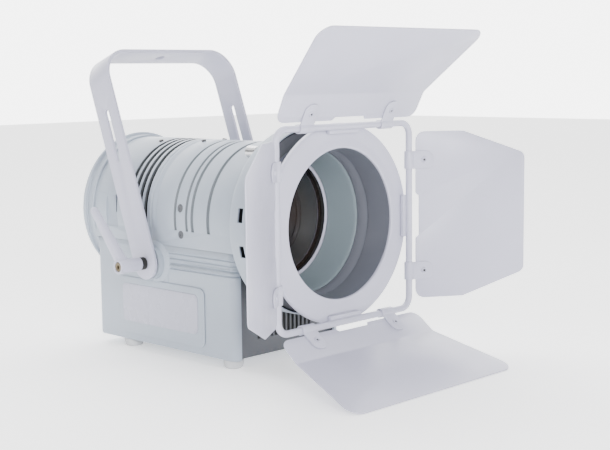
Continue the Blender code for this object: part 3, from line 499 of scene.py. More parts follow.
def front_shell():
    near, far = NECK_LOW.y, FRONT_HIGH.y
    rounding = 0.0004
    profile = [(BARREL_R - 0.0016, far), (BARREL_R - rounding, far - rounding), (BARREL_R, far - 0.0016),
               (BARREL_R, far - 0.0050), (BARREL_R - 0.0007, far - 0.0065), (BARREL_R - 0.0007, far - 0.0100),
               (BARREL_R, far - 0.0125)]
    for station, width in GROOVES:
        floor = BARREL_R - GROOVE_DEPTH
        profile += [(BARREL_R, station + width + 0.0006), (BARREL_R - rounding, station + width)]
        profile += [(floor, station + width - 0.0008), (floor, station + 0.0008)]
        profile += [(BARREL_R - rounding, station), (BARREL_R, station - 0.0006)]
    profile += [(BARREL_R, near), (BARREL_R - WALL, near), (BARREL_R - WALL, far)]
    shell = arched("barrel_front", profile, near, far, NECK_HIGH.y)
    low, high = in_lens_frame("zoom_knob")
    slot = rounded_box(LENS_TRAVEL / 2 + 0.0065, 0.0033, 0.0032,
                       centre=(ZOOM_STATION + LENS_TRAVEL / 2 + 0.0005, (low.z + high.z) / 2))
    boolean(shell, [slab("slot", slot, BASE_HALF - 0.01, BASE_HALF + 0.01, facing_side)])
    wells = []
    for side in (-1, 1):
        for z in PLUG_HEIGHTS:
            aim = Vector((side, 0, 0))
            spot = Vector((side * wall_at(z), PLUG_STATION, z))
            wells.append(cylinder("well", 0.0046, spot - aim * 0.0012, spot + aim * 0.004))
    boolean(shell, wells)
    soften(shell, 0.0003)

    def in_groove(spot):
        beside = any(start < spot.y < start + width for start, width in GROOVES)
        inner, outer = GROOVE_SHADE_RADII
        return beside and spot.z > SKIRT_TOP and inner < hypot(spot.x, spot.z) < outer

    # the groove floors and walls take the darker grey of painted shade
    tint(shell, GROOVE_SHADE, in_groove)
    finish(shell, "front_shell", "barrel_neck")


def screw_plugs():
    """The dark socket screws sunk in the side of the barrel."""
    for side, name in ((-1, "left"), (1, "right")):
        for i, z in enumerate(PLUG_HEIGHTS):
            x = wall_at(z)
            low = Vector((side * (x - 0.0011), PLUG_STATION, z))
            high = Vector((side * (x - 0.0002), PLUG_STATION, z))
            # the sunk screws take the dark grey of painted shade
            plug = piece(f"barrel_screw_{name}_{i + 1}", cylinder("screw", 0.0043, low, high), LENS,
                         SHADE_PAINT, "housing", "bright_steel")
            boolean(plug, [cylinder("socket", 0.0019, high - Vector((side * 0.0006, 0, 0)),
                                    high + Vector((side * 0.001, 0, 0)), segments=6)])
            fit(plug, 0.0002)


def rear_shell():
    near, far = REAR_LOW.y, REAR_HIGH.y
    profile = [(BARREL_R, far), (BARREL_R, near + 0.0012), (BARREL_R - 0.0012, near),
               (BARREL_R - WALL, near), (BARREL_R - WALL, far)]
    shell = arched("barrel_rear", profile, near, far, near - 0.01)
    vents = []
    for i in range(VENT_COUNT):
        start = near + 0.006 + i * VENT_PITCH
        vents.append(cuboid("vent", (-0.1, start, SKIRT_TOP + 0.002), (0.1, start + VENT_SPAN, 0.1)))
    for side in (-1, 1):
        x = sorted((side * 0.0788, side * 0.0950))
        vents.append(cuboid("pocket", (x[0], near + 0.060, -0.016), (x[1], near + 0.080, 0.022)))
        vents.append(cuboid("slot", (x[0] - 0.01, near + 0.061, 0.0), (x[1] + 0.01, near + 0.0645, 0.020)))
    boolean(shell, vents)
    soften(shell, 0.0004)

    def in_vent(spot):
        sunk = hypot(spot.x, spot.z) < BARREL_R - 0.0006
        return sunk and near + 0.005 < spot.y < near + 0.043 and abs(spot.x) < BARREL_R

    # the sunk faces round the vents take the near-black of painted shade
    tint(shell, VENT_SHADE, in_vent)
    finish(shell, "rear_shell")


def top_screws():
    """Small black socket screws either side of the barrel's top."""
    for i, (station, lean) in enumerate(((0.2660, -16), (0.2660, 16), (0.2000, -11), (0.2000, 11))):
        turn = radians(lean)
        out = Vector((sin(turn), 0.0, cos(turn)))
        seat = Vector((0.0, station, 0.0)) + out * (BARREL_R - 0.0010)
        mesh = cylinder("screw", 0.0026, seat, seat + out * 0.0026)
        screw = piece(f"top_screw_{i + 1}", mesh, LENS, *DARK)
        boolean(screw, [cylinder("socket", 0.0013, seat + out * 0.0012, seat + out * 0.004, segments=6)])
        fit(screw, 0.0003)


def rear_cover():
    near, far = CAP_LOW.y, CAP_HIGH.y
    rim = CAP_HIGH.x
    seam = near + 0.011
    profile = [(0.0, far), (0.0640, far), (0.0660, far - 0.0010), (0.0700, far - 0.0010), (0.0720, far)]
    profile += arc((rim - 0.004, far - 0.004), 0.004, 90, 0, 6)
    profile += [(rim, seam + 0.0014), (rim - 0.0008, seam + 0.0004), (rim - 0.0030, seam),
                (rim - 0.0034, seam - 0.0006), (rim - 0.0030, seam - 0.0012), (rim - 0.0030, near + 0.0006),
                (rim - 0.0036, near), (rim - 0.0080, near), (rim - 0.0080, far - 0.004), (0.0, far - 0.004)]
    cover = piece("end_cap", revolve("end_cap", profile), LENS, *SHELL)
    fit(cover, 0, "rear_cover")


def cap_screws():
    far = CAP_HIGH.y
    circle = 0.0680
    for i in range(6):
        turn = radians(30 + 60 * i)
        x, z = circle * cos(turn), circle * sin(turn)
        mesh = cylinder("screw", 0.0030, (x, far - 0.0008, z), (x, far + 0.0010, z))
        screw = piece(f"cap_screw_{i + 1}", mesh, LENS, *BRIGHT)
        boolean(screw, [cylinder("socket", 0.0013, (x, far - 0.0001, z), (x, far + 0.002, z), segments=6)])
        fit(screw, 0.0003)


def front_bezel():
    radius, near, rear = BEZEL_HIGH.x, BEZEL_LOW.y, 0.070
    skin = 0.0018
    floor = rear - skin
    hole = 0.0742
    profile = arc((radius - 0.003, rear - 0.003), 0.003, 90, 0, 5)
    profile += [(radius, near + 0.0008), (radius - 0.0003, near + 0.0002), (radius - 0.0009, near),
                (radius - 0.0015, near + 0.0002), (radius - skin, near + 0.0008), (radius - skin, floor),
                (hole, floor), (hole, rear)]
    bezel = piece("front_tray", revolve("front_tray", profile), LENS, *SHELL)
    notches = []
    for side in (-1, 1):
        for low, high in TRAY_NOTCHES:
            x = sorted((side * 0.0900, side * 0.1050))
            notches.append(cuboid("notch", (x[0], 0.0500, low), (x[1], 0.0570, high)))
    boolean(bezel, notches)
    fit(bezel, 0, "front_bezel")
    # a thin dark ring laid just in front of the tray's floor: painted shade
    wide, tight = radius - skin - 0.0002, hole + 0.0006
    shade = revolve("shade", [(wide, floor - 0.0003), (tight, floor - 0.0003), (tight, floor - 0.0012),
                              (wide, floor - 0.0012)])
    fit(piece("tray_shade_sheet", shade, LENS, *SHADED), 0)
    for i, angle in enumerate(SEAT_ANGLES):
        turn = LENS @ Matrix.Rotation(radians(angle), 4, "Y")
        # the seats take the dark grey of painted shade
        mesh = cuboid("seat", (-0.008, 0.0509, 0.089), (0.008, 0.0525, 0.0972))
        seat = piece(f"plate_bracket_{i + 1}", mesh, turn, *SHADED)
        boolean(seat, [cuboid("lip", (-0.008, 0.0465, 0.0957), (0.008, 0.0525, 0.0972)),
                       cuboid("hook", (-0.008, 0.0465, 0.0927), (0.008, 0.0481, 0.0972))], "UNION")
        fit(seat, 0.0002)


def lens_tube():
    """The tapered tube from the drum to the lens, with a turned step at its narrow end."""
    near, far = TUBE_LOW.y, TUBE_HIGH.y
    wide, narrow, skin = 0.0752, 0.0669, 0.0020
    slope = (wide - narrow) / (far - near)
    profile = [(narrow + skin, far), (wide + skin - HAIR, near), (wide + 0.0004, near),
               (wide, near + 0.0004)]
    profile += [(wide - slope * (far - near) * t / 8, near + (far - near) * t / 8) for t in range(1, 8)]
    profile += [(narrow + 0.0002, far - 0.0008), (narrow + 0.0006, far)]
    mesh = revolve("light_tube", profile, 160)
    tube = piece("light_tube", mesh, LENS, TUBE_PAINT, "housing", "light_paint")
    fit(tube, 0, "lens_tube")


# ---- base

def base_loop(inset, height, rib=False, steps=8):
    """A level of the base's wall; a rib's groove runs round the front and stops part way down each side."""
    middle = (BASE_FRONT + BASE_REAR) / 2
    half = (BASE_REAR - BASE_FRONT) / 2
    front = rounded_box(BASE_HALF - inset, half - inset, max(CORNER_R - inset, 0.001), steps, (0.0, middle))
    whole = rounded_box(BASE_HALF, half, CORNER_R, steps, (0.0, middle))
    rear = whole if rib else front
    count = 2 * (steps + 1)
    near_x, far_x = BASE_HALF - inset, BASE_HALF if rib else BASE_HALF - inset
    outline = rear[:count] + [(-far_x, RIB_END + 0.0015), (-near_x, RIB_END)]
    outline += front[count:] + [(near_x, RIB_END), (far_x, RIB_END + 0.0015)]
    return [(x, y, height) for x, y in outline]


def base_housing():
    top = SKIRT_BOTTOM - HAIR
    levels = [(0.0, top)]
    for height in RIB_HEIGHTS:
        for dz, inset in RIB_SHAPE:
            levels.append((inset, height + dz, True))
    levels += [(0.0, BASE_BOTTOM + 0.0030), (0.0003, BASE_BOTTOM + 0.0014), (0.0012, BASE_BOTTOM + 0.0003),
               (0.0022, BASE_BOTTOM), (WALL, BASE_BOTTOM), (WALL, top)]
    shape = bmesh.new()
    loops = [[shape.verts.new(point) for point in base_loop(*level)] for level in levels]
    for upper, lower in zip(loops, loops[1:] + loops[:1]):
        count = len(upper)
        for i in range(count):
            j = (i + 1) % count
            shape.faces.new((upper[i], lower[i], lower[j], upper[j]))
    base = piece("base_shell", mesh_from("base_shell", shape), LENS, *SHELL)
    boolean(base, [cuboid("window", (-0.0705, BASE_FRONT - 0.01, BASE_BOTTOM - 0.001),
                          (0.0705, BASE_FRONT + 0.006, -0.010)),
                   cylinder("neck", BARREL_R + HAIR, (0, BASE_FRONT - 0.01, 0), (0, BASE_FRONT + 0.006, 0),
                            segments=128)])
    bosses, bores = [], []
    for side in (-1, 1):
        root = (side * (BASE_HALF - 0.002), PIVOT.y, PIVOT.z)
        face = (side * 0.0900, PIVOT.y, PIVOT.z)
        bosses.append(cylinder("boss", 0.0192, root, face, segments=64))
        bosses.append(cylinder("flare", 0.0260, root, (side * 0.0835, PIVOT.y, PIVOT.z), 0.0195, segments=64))
        bores.append(cylinder("bore", PIVOT_BORE_R, (side * 0.070, PIVOT.y, PIVOT.z),
                              (side * 0.1, PIVOT.y, PIVOT.z)))
    boolean(base, bosses, "UNION")
    ports = []
    for name in ("power_inlet", "data_input", "data_output"):
        x, z, radius = round_node(name)
        rim = 0.0023 if name == "power_inlet" else 0.0018
        ports.append(cylinder("port", radius - rim, (x, BASE_REAR - 0.01, z), (x, BASE_REAR + 0.01, z)))
    boolean(base, bores + ports)
    fit(base, 0.0003, "base_housing", angle=40)


def side_panels():
    """The raised side panel with soft edges, and the blank label plate on it."""
    for side, name in ((-1, "left"), (1, "right")):
        low, high = in_lens_frame(f"side_panel_{name}")
        centre = ((low.y + high.y) / 2, (low.z + high.z) / 2)
        face = side * (BASE_HALF + HAIR)
        ordered = sorted((face, face + side * 0.0012))
        outline = rounded_box((high.y - low.y) / 2, (high.z - low.z) / 2, 0.008, 10, centre)
        panel = piece(f"side_plate_{name}", slab("plate", outline, *ordered, facing_side), LENS, *SHELL)
        fit(panel, 0.0006, f"side_panel_{name}", segments=3)
        ordered = sorted((face + side * 0.0008, face + side * 0.0019))
        outline = rounded_box(0.0640, 0.0215, 0.006, 10, (0.2040, -0.1000))
        label = piece(f"label_{name}", slab("label", outline, *ordered, facing_side), LENS, LABEL, "housing",
                      "light_paint")
        fit(label, 0.0004, segments=3)


def feet():
    for node in ("foot_front_left", "foot_front_right", "foot_rear_left", "foot_rear_right"):
        low, high = in_lens_frame(node)
        x, y = (low.x + high.x) / 2, (low.y + high.y) / 2
        radius = (high.x - low.x) / 2
        profile = [(0.0, high.z), (radius, high.z), (radius, low.z + 0.0055),
                   (radius - 0.0008, low.z + 0.0015), (radius - 0.0024, low.z), (0.0050, low.z),
                   (0.0045, low.z + 0.0035), (0.0, low.z + 0.0035)]
        mesh = revolve("foot", profile, 64)
        stand = Matrix.Translation((x, y, 0.0)) @ Matrix.Rotation(radians(90), 4, "X")
        foot = piece("rubber_" + node, mesh, LENS @ stand, RUBBER, "housing", "grey_rubber")
        fit(foot, 0.0003, node)


def grille():
    """Dark mesh behind the upright slots of the front panel."""
    behind = in_lens_frame("base_front_panel")[1].y + HAIR
    mesh = cuboid("backing", (-0.0430, behind, -0.1270), (0.0430, behind + 0.0010, -0.1010))
    fit(piece("grille_backing", mesh, LENS, GRILLE, "housing", "black_plastic"), 0.0002)


# ---- rear fittings

def rear_details():
    low, high = in_lens_frame("display_window")
    outline = rounded_box((high.x - low.x) / 2, (high.z - low.z) / 2, 0.002, 6,
                          ((low.x + high.x) / 2, (low.z + high.z) / 2))
    window = piece("display_frame", slab("window", outline, low.y, high.y, facing_front), LENS, *DARK)
    fit(window, 0.0003, "display_window")
    edge = 0.004
    mesh = cuboid("glass", (low.x + edge, high.y - 0.0002, low.z + edge),
                  (high.x - edge, high.y + 0.0002, high.z - edge))
    fit(piece("display_glass", mesh, LENS, SCREEN, "housing", "black_plastic"), 0.0001)
    for i in range(1, 5):
        low, high = in_lens_frame(f"menu_button_{i}")
        x, z, radius = round_node(f"menu_button_{i}")
        profile = [(0.0, high.y - 0.0004), (radius * 0.5, high.y - 0.0002), (radius - 0.0008, high.y),
                   (radius, high.y - 0.0008), (radius, low.y), (0.0, low.y)]
        key = piece(f"menu_key_{i}", revolve("key", profile, 48), LENS @ Matrix.Translation((x, 0, z)), BLACK,
                    f"menu_button_{i}", "black_plastic")
        fit(key, 0, f"menu_button_{i}")
    low, high = in_lens_frame("power_inlet")
    x, z = round_node("power_inlet")[:2]
    for i, (dx, dz) in enumerate(((0.0, 0.0035), (-0.0040, -0.0025), (0.0040, -0.0025))):
        mesh = cuboid("pin", (x + dx - 0.0009, low.y + 0.0075, z + dz - 0.0020),
                      (x + dx + 0.0009, high.y - 0.0040, z + dz + 0.0020))
        fit(piece(f"inlet_pin_{i + 1}", mesh, LENS, *BRIGHT), 0.0003)
    for name in ("data_input", "data_output"):
        low, high = in_lens_frame(name)
        x, z = round_node(name)[:2]
        for i in range(3):
            turn = radians(90 + 120 * i)
            across, up = x + 0.0038 * cos(turn), z + 0.0038 * sin(turn)
            mesh = cylinder("pin", 0.0011, (across, low.y + 0.0075, up), (across, high.y - 0.0040, up),
                            segments=20)
            fit(piece(f"{name}_pin_{i + 1}", mesh, LENS, *BRIGHT), 0.0002)


# ---- lens and light engine

def lens_group():
    low, high = in_lens_frame("lens")
    radius, front, back = high.x, low.y, high.y
    steps = 16
    bulge = LENS_STATION - front
    profile = [(0.0, back), (radius - 0.0004, back), (radius, back - 0.0004), (radius, LENS_STATION + 0.0003)]
    for i in range(1, steps):
        r = radius * (1 - i / steps)
        profile.append((r, LENS_STATION - bulge * (1 - (r / radius) ** 2)))
    profile.append((0.0, front))
    glass = piece("lens_glass", revolve("lens_glass", profile), LENS, GLASS, "lens_carriage", "lens_glass")
    fit(glass, 0, "lens")
    low, high = in_lens_frame("lens_retainer")
    outer, near, far = high.x, low.y, high.y
    inner = radius - 0.0005
    profile = [(outer, far), (outer, near + 0.0004), (outer - 0.0004, near), (outer - 0.0022, near),
               (outer - 0.0026, near + 0.0006), (inner + 0.0030, near + 0.0006), (inner + 0.0026, near),
               (inner + 0.0004, near), (inner, near + 0.0004), (inner, far)]
    hold = piece("lens_ring", revolve("lens_ring", profile), LENS, DOOR_PAINT, "lens_carriage", "light_paint")
    fit(hold, 0, "lens_retainer")


def zoom_knob():
    low, high = in_lens_frame("zoom_knob")
    y, z, radius = (low.y + high.y) / 2, (low.z + high.z) / 2, (high.z - low.z) / 2
    profile = [(0.0, high.x), (radius - 0.0016, high.x), (radius - 0.0006, high.x - 0.0008),
               (radius - 0.0004, low.x + 0.001), (radius - 0.0010, low.x), (0.0029, low.x),
               (0.0029, low.x + 0.0035), (0.0, low.x + 0.0035)]
    stand = LENS @ Matrix.Translation((0, y, z)) @ Matrix.Rotation(radians(-90), 4, "Z")
    knob = piece("focus_knob", revolve("focus_knob", profile, 72), stand, BLACK, "zoom_knob", "black_plastic")
    flutes = []
    for i in range(14):
        turn = 2 * pi * i / 14
        x, up = (radius + 0.0004) * cos(turn), (radius + 0.0004) * sin(turn)
        flutes.append(cylinder("flute", 0.0010, (x, low.x + 0.0015, up), (x, high.x + 0.01, up), segments=16))
    boolean(knob, flutes)
    fit(knob, 0.0002, "zoom_knob")


def light_engine():
    low, high = in_lens_frame("heat_sink")
    radius, near, far = high.z, low.y, high.y
    fins, thick, core = 15, 0.0013, 0.034
    pitch = (far - near - thick) / (fins - 1)
    profile = [(0.0, far)]
    for i in range(fins):
        edge = far - i * pitch
        if i:
            profile.append((core, edge))
        profile += [(radius, edge), (radius, edge - thick)]
        if i < fins - 1:
            profile.append((core, edge - thick))
    profile.append((0.0, near))
    sink = piece("cooling_fins", revolve("cooling_fins", profile, 96), LENS, FIN, "housing", "fin_metal")
    fit(sink, 0, "heat_sink")
    low, high = in_lens_frame("led_module")
    top, edge = high.y - 0.0040, 0.030
    board = revolve("board", [(0.0, high.y), (edge, high.y), (edge, top), (0.0, top)], 72)
    fit(piece("led_board", board, LENS, BOARD, "housing", "module"), 0.0003, "led_module")
    emitter = revolve("emitter", [(0.0, high.y - 0.0042), (0.0150, high.y - 0.0042), (0.0150, low.y + 0.0006),
                                  (0.0135, low.y), (0.0125, low.y + 0.0005), (0.0, low.y + 0.0005)], 72)
    fit(piece("led_emitter", emitter, LENS, PHOSPHOR, "housing", "module"), 0)


# ---- barndoor

def barndoor_plate():
    low, high = in_lens_frame("barndoor_plate")
    outer, inner = high.x, TUBE_R + HAIR
    edge = 0.0003
    profile = [(outer - edge, high.y), (outer, high.y - edge), (outer, low.y + edge), (outer - edge, low.y),
               (inner + edge, low.y), (inner, low.y + edge), (inner, high.y)]
    # the plate behind the ring takes the dark grey of painted shade
    plate = piece("door_plate", revolve("door_plate", profile), LENS, *SHADED)
    x, z = round_node("accessory_plunger")[:2]
    boolean(plate, [cylinder("seat", 0.0027, (x, 0.04, z), (x, 0.06, z))])
    fit(plate, 0, "barndoor_plate")


def barndoor_ring():
    """The face: a soft bead round the bore that ends in a crisp edge, and a rolled rim."""
    rim, face, back = RING_HIGH.x, RING_FACE, RING_FACE + 0.0018
    profile = [(BORE_R, back), (rim - 0.0018, back), (rim - 0.0018, face + 0.0058),
               (rim - 0.0012, face + 0.0064), (rim - 0.0004, face + 0.0062), (rim, face + 0.0056)]
    profile += arc((rim - 0.0022, face + 0.0022), 0.0022, 0, -90, 6)
    bead = 0.0110
    profile += [(rim - 0.0100, face), (BORE_R + bead, face)]
    for i in range(1, 10):
        t = i / 10
        profile.append((BORE_R + bead * (1 - t), face - 0.0009 * sin(pi * t ** 1.6 * 0.62)))
    profile += [(BORE_R + 0.0003, face - 0.0005), (BORE_R, face - 0.0001)]
    ring = piece("door_ring", revolve("door_ring", profile, 160), LENS, *DOOR)
    fit(ring, 0, "barndoor_ring", crisp=40)


def barndoor_tube():
    """The drum behind the face: two lips round the plate, and a groove and a rolled taper inside."""
    plate_low, plate_high = in_lens_frame("barndoor_plate")
    near = RING_FACE + 0.0018 + HAIR
    lip = TUBE_R + 0.0026
    profile = [(lip, RING_END), (lip, plate_high.y + HAIR), (TUBE_R, plate_high.y + HAIR),
               (TUBE_R, plate_low.y - HAIR), (lip, plate_low.y - HAIR), (lip, plate_low.y - 0.0015),
               (TUBE_R, plate_low.y - 0.0015)]
    profile += arc((TUBE_R + 0.003, near + 0.003), 0.003, 180, 270, 6)
    wide, step = BORE_R + 0.0012, 0.0398
    profile += [(BORE_R, near), (BORE_R, step - 0.0015), (BORE_R + 0.0002, step - 0.0013),
                (BORE_R + 0.0011, step - 0.0011), (wide, step)]
    for i in range(1, 11):
        t = i / 10
        profile.append((wide - 0.0031 * sin(pi * t / 2), step + (RING_END - step - 0.0004) * t))
    profile.append((BORE_R - 0.0015, RING_END))
    # the whole drum takes the dark grey of painted shade
    drum = piece("door_drum", revolve("door_drum", profile, 160), LENS, BORE_SHADE, "barndoor", "light_paint")
    fit(drum, 0, "barndoor_tube", crisp=40)


def wire_frame():
    curve = bpy.data.curves.new("door_wire", "CURVE")
    curve.dimensions = "3D"
    curve.bevel_depth = ROD_R
    curve.bevel_resolution = 6
    spline = curve.splines.new("POLY")
    points = rounded_box(ROD_HALF, ROD_HALF, 0.013, 12)
    spline.points.add(len(points) - 1)
    for point, (x, z) in zip(spline.points, points):
        point.co = (x, 0.0, z, 1.0)
    spline.use_cyclic_u = True
    holder = add("door_wire", curve)
    mesh = evaluated(holder)
    bpy.data.objects.remove(holder)
    mesh.materials.clear()
    wire = piece("door_wire", mesh, LENS, *DOOR)
    fit(wire, 0, "barndoor_frame")
    for i in range(4):
        turn = LENS @ Matrix.Rotation(i * pi / 2, 4, "Y")
        mesh = cuboid("tab", (-0.0225, 0.0012, 0.0925), (0.0225, RING_FACE - HAIR, ROD_HALF))
        fit(piece(f"weld_tab_{i + 1}", mesh, turn, *DOOR), 0.0012, segments=3)


def near_edge(half, corner):
    """A leaf's hinge edge, with a shallow notch in the middle that clears the welded tab."""
    start, depth, middle = 0.0073, 0.0036, 0.0245
    return [(half, start, corner), (middle, start, 0.0005), (middle - 0.003, start + depth, 0.0005),
            (-middle + 0.003, start + depth, 0.0005), (-middle, start, 0.0005), (-half, start, corner)]


def side_leaf():
    points = near_edge(0.0903, 0.0100)
    points += [(-0.0903, 0.0610, 0.004), (-0.0650, 0.1315, 0.0085), (0.0650, 0.1315, 0.0085),
               (0.0903, 0.0610, 0.004)]
    return slab("leaf", rounded_polygon(points[::-1]), -LEAF_THICK / 2, LEAF_THICK / 2, facing_front)


def wide_leaf(side):
    """A strip at the hinge and a panel bent forward, with a soft fold between them."""
    length, wide = WIDE_PANELS[side]
    points = near_edge(0.1035, 0.0110)
    points += [(-0.1045, CREASE, 0.0), (-wide, CREASE + length, 0.0140), (wide, CREASE + length, 0.0140),
               (0.1045, CREASE, 0.0)]
    mesh = slab("leaf", rounded_polygon(points[::-1], 10), -LEAF_THICK / 2, LEAF_THICK / 2, facing_front)
    shape = bmesh.new()
    shape.from_mesh(mesh)
    start, length = CREASE - 0.0025, 0.0050
    for i in range(7):
        level = start + length * i / 6
        everything = list(shape.verts) + list(shape.edges) + list(shape.faces)
        bmesh.ops.bisect_plane(shape, geom=everything, plane_co=(0, 0, level), plane_no=(0, 0, 1), dist=1e-7)
    radius = length / CREASE_ANGLE
    for vert in shape.verts:
        along = vert.co.z - start
        if along <= 1e-7:
            continue
        bend = min(along, length) / radius
        beyond = max(along - length, 0.0)
        lift = -vert.co.y
        forward = radius * (1 - cos(bend)) + beyond * sin(bend) + lift * cos(bend)
        out = radius * sin(bend) + beyond * cos(bend) - lift * sin(bend)
        vert.co.z = start + out
        vert.co.y = -forward
    return mesh_from("leaf", shape)


def leaf_clip(side, number, offset):
    """A strap curled round the rod, with a rounded tongue and a hollow rivet."""
    inner = ROD_R + HAIR
    metal_thick = 0.0013
    outer = inner + metal_thick
    under = -LEAF_THICK / 2 - HAIR
    above = under - metal_thick
    lift = degrees(asin(-under / inner))
    lift_outer = degrees(asin(-above / outer))
    outline = [(0.0270, above), (0.0270, under)]
    outline += arc((0, 0), inner, -lift, -(lift + 285), 26)
    outline += arc((0, 0), outer, -(lift + 285), -lift_outer, 26)
    half = 0.0095
    place, look = leaf_place(side), (DOOR_PAINT, f"leaf_{side}", "light_paint")
    mesh = slab("clip", outline, offset - half, offset + half, lambda p, q, x: (x, q, p))
    clip = piece(f"door_{side}_clip_{number}", mesh, place, *look)
    corner = half - 0.0008
    tip = 0.027
    shoulder = tip - corner - 0.002
    mask = rounded_polygon([(-0.019, -0.02, 0), (0.019, -0.02, 0), (0.019, shoulder, 0), (half, shoulder, 0),
                            (half, tip, corner), (-half, tip, corner), (-half, shoulder, 0),
                            (-0.019, shoulder, 0)], 8)
    mask = [(x + offset, z) for x, z in mask]
    boolean(clip, [slab("mask", mask, -0.015, 0.015, facing_front)], "INTERSECT")
    fit(clip, 0.0003, f"leaf_{side}_clip_{number}", crisp=40)
    profile = [(0.0, above - 0.0002), (0.0013, above - 0.0002), (0.0015, above - 0.0009),
               (0.0022, above - 0.0013), (0.0030, above - 0.0009), (0.0034, above + 0.0001),
               (0.0, above + 0.0001)]
    stand = place @ Matrix.Translation((offset, 0, 0.0165))
    rivet = piece(f"door_{side}_rivet_{number}", revolve("rivet", profile, 40), stand, *look)
    fit(rivet, 0)
    # a black disc in the rivet's dished middle: painted shade for its hole
    core = cylinder("core", 0.0012, (0, above - 0.0004, 0), (0, above - 0.00005, 0), segments=24)
    hollow = piece(f"door_{side}_rivet_hole_shade_{number}", core, stand, BLACK, f"leaf_{side}", "black_plastic")
    fit(hollow, 0)


def leaves():
    for side in LEAVES:
        mesh = side_leaf() if side in ("left", "right") else wide_leaf(side)
        leaf = piece(f"door_leaf_{side}", mesh, leaf_place(side), DOOR_PAINT, f"leaf_{side}", "light_paint")
        fit(leaf, 0.0004, f"leaf_{side}", segments=2, crisp=50)
        leaf_clip(side, 1, -CLIP_OFFSET)
        leaf_clip(side, 2, CLIP_OFFSET)


# ---- yoke and levers

def yoke():
    outer, thick, bend, top, width = 0.0958, 0.0040, 0.032, 0.2410, 0.036
    foot = -width / 2
    inner, tight = outer - thick, bend - thick
    outline = [(outer, foot), *arc((outer - bend, top - bend), bend, 0, 90, 20)]
    outline += [*arc((-outer + bend, top - bend), bend, 90, 180, 20), (-outer, foot), (-inner, foot)]
    outline += [*arc((-outer + bend, top - bend), tight, 180, 90, 20)]
    outline += [*arc((outer - bend, top - bend), tight, 90, 0, 20), (inner, foot)]
    mesh = slab("yoke_bar", outline, -width / 2, width / 2, facing_front)
    bar = piece("yoke_bar", mesh, YOKE, DOOR_PAINT, "yoke", "light_paint")
    mask = rounded_polygon([(-width / 2, foot, 0.0178), (width / 2, foot, 0.0178),
                            (width / 2 + 0.0005, top + 0.01, 0), (-width / 2 - 0.0005, top + 0.01, 0)], 20)
    boolean(bar, [slab("mask", mask, -0.15, 0.15, facing_side)], "INTERSECT")
    slot = rounded_box(0.0035, 0.0305, 0.0034, 8, (0.0, 0.1455))
    boolean(bar, [slab("slot", slot, -0.15, 0.15, facing_side),
                  cylinder("pivot", PIVOT_BORE_R, (-0.15, 0, 0), (0.15, 0, 0)),
                  cylinder("hanging", 0.0055, (0, 0, top - 0.03), (0, 0, top + 0.03))])
    fit(bar, 0.0007, "yoke", segments=3)


def squared(wave):
    """Swells a sine or cosine so that a round section turns slightly square."""
    return abs(wave) ** 0.75 * (1 if wave > 0 else -1)


def clamp_lever(name, side):
    """A cast handle: a tapering arm that grows out of the hub, a black threaded ring and a brass screw."""
    body = f"clamp_lever_{name}"
    mesh = cylinder("hub", 0.0072, (side * 0.1033, 0, 0), (side * 0.1317, 0, 0), 0.0080, 64)
    hub = piece(f"lever_{name}", mesh, LEVER, DOOR_PAINT, body, "light_paint")
    sections = []
    for i in range(13):
        t = i / 12
        z = 0.0025 + 0.0655 * t
        x = side * (0.1235 + 0.0095 * t)
        sections.append((x, z, 0.0066 - 0.0022 * t, 0.0057 - 0.0019 * t))
    sections.append((side * 0.1332, 0.0705, 0.0036, 0.0030))
    sections.append((side * 0.1332, 0.0722, 0.0020, 0.0016))
    shape = bmesh.new()
    loops = []
    count = 40
    turns = [2 * pi * k / count for k in range(count)]
    for x, z, half_x, half_y in sections:
        loops.append([shape.verts.new((x + half_x * squared(cos(t)), half_y * squared(sin(t)), z))
                      for t in turns])
    for first, second in zip(loops, loops[1:]):
        for k in range(count):
            after = (k + 1) % count
            shape.faces.new((first[k], first[after], second[after], second[k]))
    shape.faces.new(loops[0][::-1])
    shape.faces.new(loops[-1])
    boolean(hub, [mesh_from("arm", shape)], "UNION")
    boolean(hub, [cylinder("bore", 0.0043, (side * 0.1, 0, 0), (side * 0.14, 0, 0)),
                  cylinder("seat", 0.0056, (side * 0.1266, 0, 0), (side * 0.14, 0, 0))])
    fit(hub, 0.0006, body, segments=3, crisp=40)
    axis = LEVER @ Matrix.Rotation(radians(-90), 4, "Z")
    start, end = side * 0.0962, side * 0.1030
    count = 7
    pitch = (end - start) / count
    profile = [(0.0, start)]
    for i in range(count):
        profile += [(0.0060, start + pitch * i), (0.0069, start + pitch * (i + 0.5))]
    profile += [(0.0060, end), (0.0042, end + side * 0.0002), (0.0042, side * 0.1268), (0.0, side * 0.1268)]
    collar = piece(f"lever_collar_{name}", revolve("collar", profile, 64), axis, BLACK, body, "black_plastic")
    fit(collar, 0, crisp=30)
    profile = [(0.0, side * 0.1270), (0.0053, side * 0.1270), (0.0053, side * 0.1308),
               (0.0048, side * 0.1314), (0.0034, side * 0.1314), (0.0030, side * 0.1308),
               (0.0, side * 0.1308)]
    screw = piece(f"lever_screw_{name}", revolve("screw", profile, 64), axis, BRASS, body, "bright_steel")
    boolean(screw, [cylinder("socket", 0.0021, (0, side * 0.1292, 0), (0, side * 0.14, 0), segments=6)])
    fit(screw, 0.0002)
    mesh = cylinder("shank", 0.0040, (side * 0.0800, 0, 0), (side * 0.0960, 0, 0))
    shank = piece(f"lever_shank_{name}", mesh, LEVER, STEEL, body, "bright_steel")
    fit(shank, 0.0003, f"clamp_stud_{name}")


# ---- carried-over nodes

